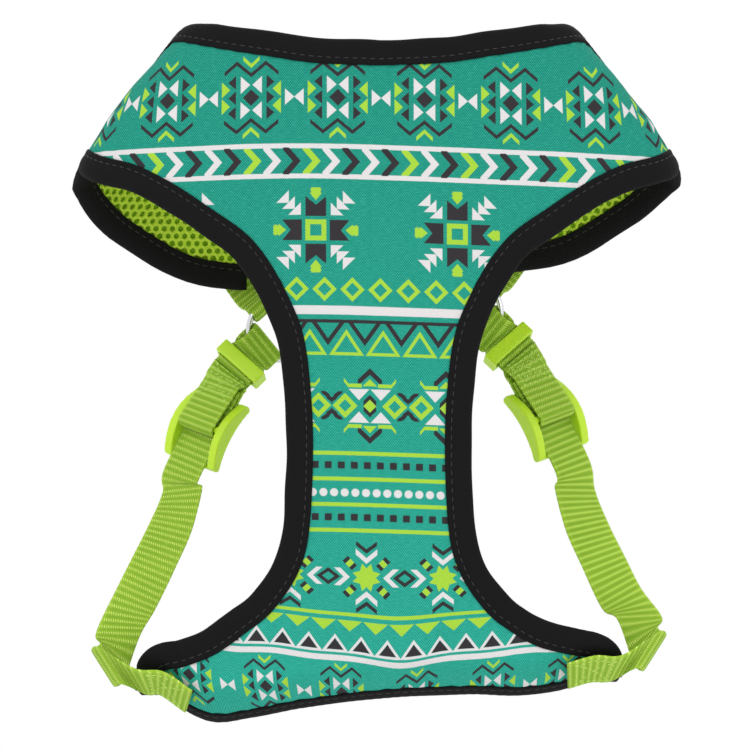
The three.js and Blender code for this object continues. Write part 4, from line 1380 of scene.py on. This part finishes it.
def tape_section():
    """Reach and height round a folded tape, from its inner lip over the outside and back."""
    low = -STACK - BINDING_PROUD
    middle = (BINDING_PROUD + low) / 2
    over = [(-0.55, 0.1), (-0.5, 0.5), (0.0, 0.74), (0.9, 0.8), (1.7, 0.66), (2.5, 0.86),
            (3.8, 1.0), (5.2, 0.95), (6.5, 0.7), (7.6, 0.2), (8.4, -0.45), (8.85, -1.15)]
    under = [(r, 2 * middle - h) for r, h in reversed(over)]
    return np.array([*over, (9.0, middle), *under])


class HARNESS_OT_bindings(bpy.types.Operator):
    """Folds black tape over every edge and sews it down"""

    bl_idname = "harness.bindings"
    bl_label = "Edge Bindings"
    bl_options = {"REGISTER", "UNDO"}

    def execute(self, context):
        tape = tape_finish()
        section = tape_section()
        steps = np.linalg.norm(np.diff(section, axis=0), axis=1)
        inset = np.concatenate([[0], np.cumsum(steps)])
        for name, line, side in edge_lines():
            edge = Edge(line, side)
            rows, uv = [], []
            for k in range(len(edge.at)):
                run = edge.run[k]
                sway = TAPE_SWAY * float(ripple(np.array(run), np.array(run * 0.3), 27, len(name)))
                crimp = TAPE_CRIMP * math.sin(run * 2 * math.pi / sizes().pitch)
                reach = section[:, 0] + sway * smooth(section[:, 0], 1, BINDING_WIDTH)
                height = section[:, 1] + crimp * np.sign(section[:, 1] + STACK / 2)
                rows.append(edge.at[k] + np.outer(reach, edge.out[k]) + np.outer(height, edge.face[k]))
                uv.append(np.stack([inset, np.full(len(inset), run)], 1))
            points = np.concatenate(rows)
            faces = facing_out(points, loft_faces(len(rows), len(section)))
            piece = new_piece(name + "_tape", points, faces, np.concatenate(uv))
            finished(piece, tape, "binding_tape", "vest", name)
        self.sew()
        return {"FINISHED"}

    def sew(self):
        s = sizes()
        lines, offs = [], []
        low = -STACK - BINDING_PROUD
        for _, line, side in edge_lines():
            edge = Edge(line, side)
            for height, way in ((0.72, 1), (low + 0.08, -1)):
                lines.append(edge.place(BINDING_SEAM, height))
                offs.append(edge.face * way)
        source = line_object("binding_stitches", lines, offs)
        thread = thread_finish("Dark thread", (0.016, 0.014, 0.012))
        values = {"Pitch": s.pitch * MM, "Length": s.stitch * MM, "Radius": s.thread * MM,
                  "Thread": thread}
        stitches = grown(source, stitch_tree(), values)
        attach(stitches, "vest")


class HARNESS_OT_webbing(bpy.types.Operator):
    """Runs the belly straps, their sewn returns, the neck tabs and the buckle straps"""

    bl_idname = "harness.webbing"
    bl_label = "Webbing"
    bl_options = {"REGISTER", "UNDO"}

    def execute(self, context):
        look = webbing_finish()
        sewn = []
        for name, side in SIDES:
            h = Side(name, side)
            belly = Ribbon(belly_route(h))
            strap = belly.piece("belly_webbing_" + name)
            finished(strap, look, "webbing", "vest", "belly_strap_" + name)
            tab = Ribbon(neck_tab_route(h))
            short = tab.piece("neck_tab_webbing_" + name)
            finished(short, look, "webbing", "vest", "neck_tab_" + name)
            back = Ribbon(return_route(h))
            self.bent(back.piece("return_webbing_" + name), look, "strap_return_" + name,
                      "slider_" + name, h.keeper.origin + h.keeper.d * (TAIL + RETURN_BEND[0]),
                      h.slider.origin - h.slider.d * (SLIDER_LENGTH / 2 - RETURN_BEND[1]))
            loop = Ribbon(buckle_route(h), closed=True)
            piece = loop.piece("buckle_webbing_" + name)
            if side > 0:
                finished(piece, look, "webbing", "vest", "buckle_strap_" + name)
            else:
                reach = unit(h.bar - h.ring)
                self.bent(piece, look, "buckle_strap_left", "plug",
                          h.ring + reach * LOOP_BEND[0], h.bar - reach * LOOP_BEND[1])
            sewn += self.box(belly, *STRAP_BOX)
            sewn += self.box(back, *RETURN_BOX)
            sewn += self.box(tab, *TAB_BOX)
        lines, offs = zip(*sewn)
        source = line_object("webbing_stitches", lines, offs)
        thread = thread_finish("Lime thread", (0.52, 0.78, 0.12))
        values = {"Pitch": BAR_PITCH * MM, "Length": BAR_STITCH * MM, "Radius": BAR_THREAD * MM,
                  "Thread": thread}
        stitches = grown(source, stitch_tree(), values)
        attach(stitches, "vest")
        return {"FINISHED"}

    def bent(self, piece, look, node, body, start, end):
        """A strap given its material and a baked transform, with the node it stands for hidden."""
        piece.data.materials.append(look)
        tuple(start * MM)
        tuple(end * MM)
        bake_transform(piece)
        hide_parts(node)

    def box(self, ribbon, start, end, width, rows):
        """A sewn box with its two diagonals and any rows across, on the ribbon's front face."""
        forward = 1 if ribbon.face[0][1] < 0 or abs(ribbon.face[0][1]) < 0.3 else -1
        x = width / 2
        runs = [((start, -x), (end, -x)), ((end, -x), (end, x)), ((end, x), (start, x)),
                ((start, x), (start, -x)), ((start, -x), (end, x)), ((start, x), (end, -x))]
        runs += [((a, -x), (a, x)) for a in np.linspace(start, end, rows + 2)[1:-1]]
        out = []
        for (a0, c0), (a1, c1) in runs:
            steps = [ribbon.at(a0 + (a1 - a0) * f, c0 + (c1 - c0) * f, forward * THICK / 2)
                     for f in np.linspace(0, 1, 9)]
            out.append((np.array([p for p, _ in steps]), np.array([n * forward for _, n in steps])))
        return out


class HARNESS_OT_rings(bpy.types.Operator):
    """Bends the two wire rings and closes them with a weld"""

    bl_idname = "harness.rings"
    bl_label = "Wire Rings"
    bl_options = {"REGISTER", "UNDO"}

    def execute(self, context):
        look = steel_finish()
        for name, side in SIDES:
            h = Side(name, side)
            x = unit(np.cross(h.axis, point(0, 0, 1)))
            y = np.cross(h.axis, x)
            around, section = 128, 20
            rows = []
            for a in np.linspace(0, 2 * math.pi, around, endpoint=False):
                weld = math.exp(-(((a - WELD_TURN) / WELD_SPREAD) ** 2))
                radius = RING_WIRE / 2 * (1 + WELD_SWELL * weld)
                out = x * math.cos(a) + y * math.sin(a)
                b = np.linspace(0, 2 * math.pi, section, endpoint=False)
                rows.append(h.ring + np.outer(RING_MEAN + radius * np.cos(b), out)
                            + np.outer(radius * np.sin(b), h.axis))
            points = np.concatenate(rows)
            faces = facing_out(points, loft_faces(around, section, True))
            piece = new_piece("wire_ring_" + name, points, faces)
            finished(piece, look, "steel", "ring_" + name, "ring_" + name)
        return {"FINISHED"}


def moulded(node, name, voxel, rounds):
    """A moulded copy of a fitting: its corners are eased and its joins filleted."""
    bm = bmesh.new()
    bm.from_mesh(frame["nodes"][node].data)
    bmesh.ops.remove_doubles(bm, verts=bm.verts, dist=1e-6)
    mesh = bpy.data.meshes.new(name)
    bm.to_mesh(mesh)
    bm.free()
    made = bpy.data.objects.new(name, mesh)
    bpy.context.scene.collection.objects.link(made)
    remesh = made.modifiers.new("Even surface", "REMESH")
    remesh.mode = "VOXEL"
    remesh.voxel_size = voxel * MM
    ease = made.modifiers.new("Eased corners", "SMOOTH")
    ease.factor = 0.5
    ease.iterations = rounds
    depsgraph = bpy.context.evaluated_depsgraph_get()
    final = bpy.data.meshes.new_from_object(made.evaluated_get(depsgraph))
    bpy.data.objects.remove(made)
    final.shade_smooth()
    final.name = name
    piece = bpy.data.objects.new(name, final)
    bpy.context.scene.collection.objects.link(piece)
    return piece


class HARNESS_OT_fittings(bpy.types.Operator):
    """Moulds the sliders, keepers and the release buckle"""

    bl_idname = "harness.fittings"
    bl_label = "Plastic Fittings"
    bl_options = {"REGISTER", "UNDO"}

    def execute(self, context):
        look = plastic_finish()
        for name, _ in SIDES:
            slider = moulded("slider_" + name, "arched_slider_" + name, 0.36, 12)
            finished(slider, look, "plastic", "slider_" + name, "slider_" + name)
            keeper = moulded("keeper_" + name, "loop_keeper_" + name, 0.3, 16)
            finished(keeper, look, "plastic", "keeper_" + name, "keeper_" + name)
        for node, body, voxel in (("buckle_socket", "vest", 0.38), ("buckle_plug", "plug", 0.38),
                                  ("latch_arm_upper", "latch_upper", 0.28),
                                  ("latch_arm_lower", "latch_lower", 0.28)):
            name = node.replace("buckle", "moulded").replace("latch", "moulded")
            finished(moulded(node, name, voxel, 4), look, "plastic", body, node)
        return {"FINISHED"}


class HARNESS_OT_stage(bpy.types.Operator):
    """Sets the pale floor, the soft lights and the camera"""

    bl_idname = "harness.stage"
    bl_label = "Stage"
    bl_options = {"REGISTER", "UNDO"}

    def execute(self, context):
        self.floor()
        world = bpy.data.worlds.new("Studio white")
        bpy.context.scene.world = world
        world.use_nodes = True
        world.node_tree.nodes["Background"].inputs[0].default_value = (1, 1, 1, 1)
        world.node_tree.nodes["Background"].inputs[1].default_value = 1.0
        bpy.context.scene.view_settings.view_transform = "Standard"
        for name, at, size, watts in LIGHTS:
            self.light(name, at, size, watts)
        camera = bpy.data.cameras.new("Front view")
        camera.lens = LENS
        camera.sensor_width = SENSOR
        camera.clip_end = FAR_CLIP
        made = bpy.data.objects.new("Front view", camera)
        made.location = CAMERA_AT
        made.rotation_euler = (math.pi / 2, 0, 0)
        bpy.context.scene.collection.objects.link(made)
        bpy.context.scene.camera = made
        return {"FINISHED"}

    def floor(self):
        half, level = FLOOR_HALF, FLOOR_LEVEL
        corners = [(x, y, level) for x, y in ((-half, -half), (half, -half), (half, half), (-half, half))]
        piece = new_piece("pale_floor", corners, [(0, 1, 2, 3)], shade=False)
        finish = Finish("Pale floor")
        grain = finish.noise(finish.place(), 30, 2.0)
        shade = mixed(grain * 0.2, (0.86, 0.86, 0.86, 1), (0.8, 0.8, 0.8, 1))
        finish.set(base_color=shade, roughness=0.7)
        piece.data.materials.append(finish.material)

    def light(self, name, at, size, watts):
        data = bpy.data.lights.new(name, "AREA")
        data.shape = "DISK"
        data.size = size
        data.energy = watts
        made = bpy.data.objects.new(name, data)
        made.location = at
        aim = Vector(LIT_POINT) - Vector(at)
        made.rotation_euler = aim.to_track_quat("-Z", "Y").to_euler()
        bpy.context.scene.collection.objects.link(made)


STEPS = (
    HARNESS_OT_stage,
    HARNESS_OT_lining,
    HARNESS_OT_shell,
    HARNESS_OT_bindings,
    HARNESS_OT_webbing,
    HARNESS_OT_rings,
    HARNESS_OT_fittings,
)


class HARNESS_PT_panel(bpy.types.Panel):
    """Lists the harness's steps, colours and sizes"""

    bl_idname = "HARNESS_PT_panel"
    bl_label = "Harness"
    bl_space_type = "VIEW_3D"
    bl_region_type = "UI"
    bl_category = "Harness"

    def draw(self, context):
        for step in STEPS:
            self.layout.operator(step.bl_idname)
        for group in (context.scene.harness_colours, context.scene.harness_sizes):
            box = self.layout.box()
            for key in group.__annotations__:
                box.prop(group, key)


CLASSES = (HarnessColours, HarnessSizes, *STEPS, HARNESS_PT_panel)


def register():
    for kind in CLASSES:
        bpy.utils.register_class(kind)
    bpy.types.Scene.harness_colours = bpy.props.PointerProperty(type=HarnessColours)
    bpy.types.Scene.harness_sizes = bpy.props.PointerProperty(type=HarnessSizes)


def unregister():
    del bpy.types.Scene.harness_colours
    del bpy.types.Scene.harness_sizes
    for kind in reversed(CLASSES):
        bpy.utils.unregister_class(kind)


def main():
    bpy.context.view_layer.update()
    register()
    for step in STEPS:
        group, name = step.bl_idname.split(".")
        getattr(getattr(bpy.ops, group), name)()


if __name__ == "__main__":
    main()
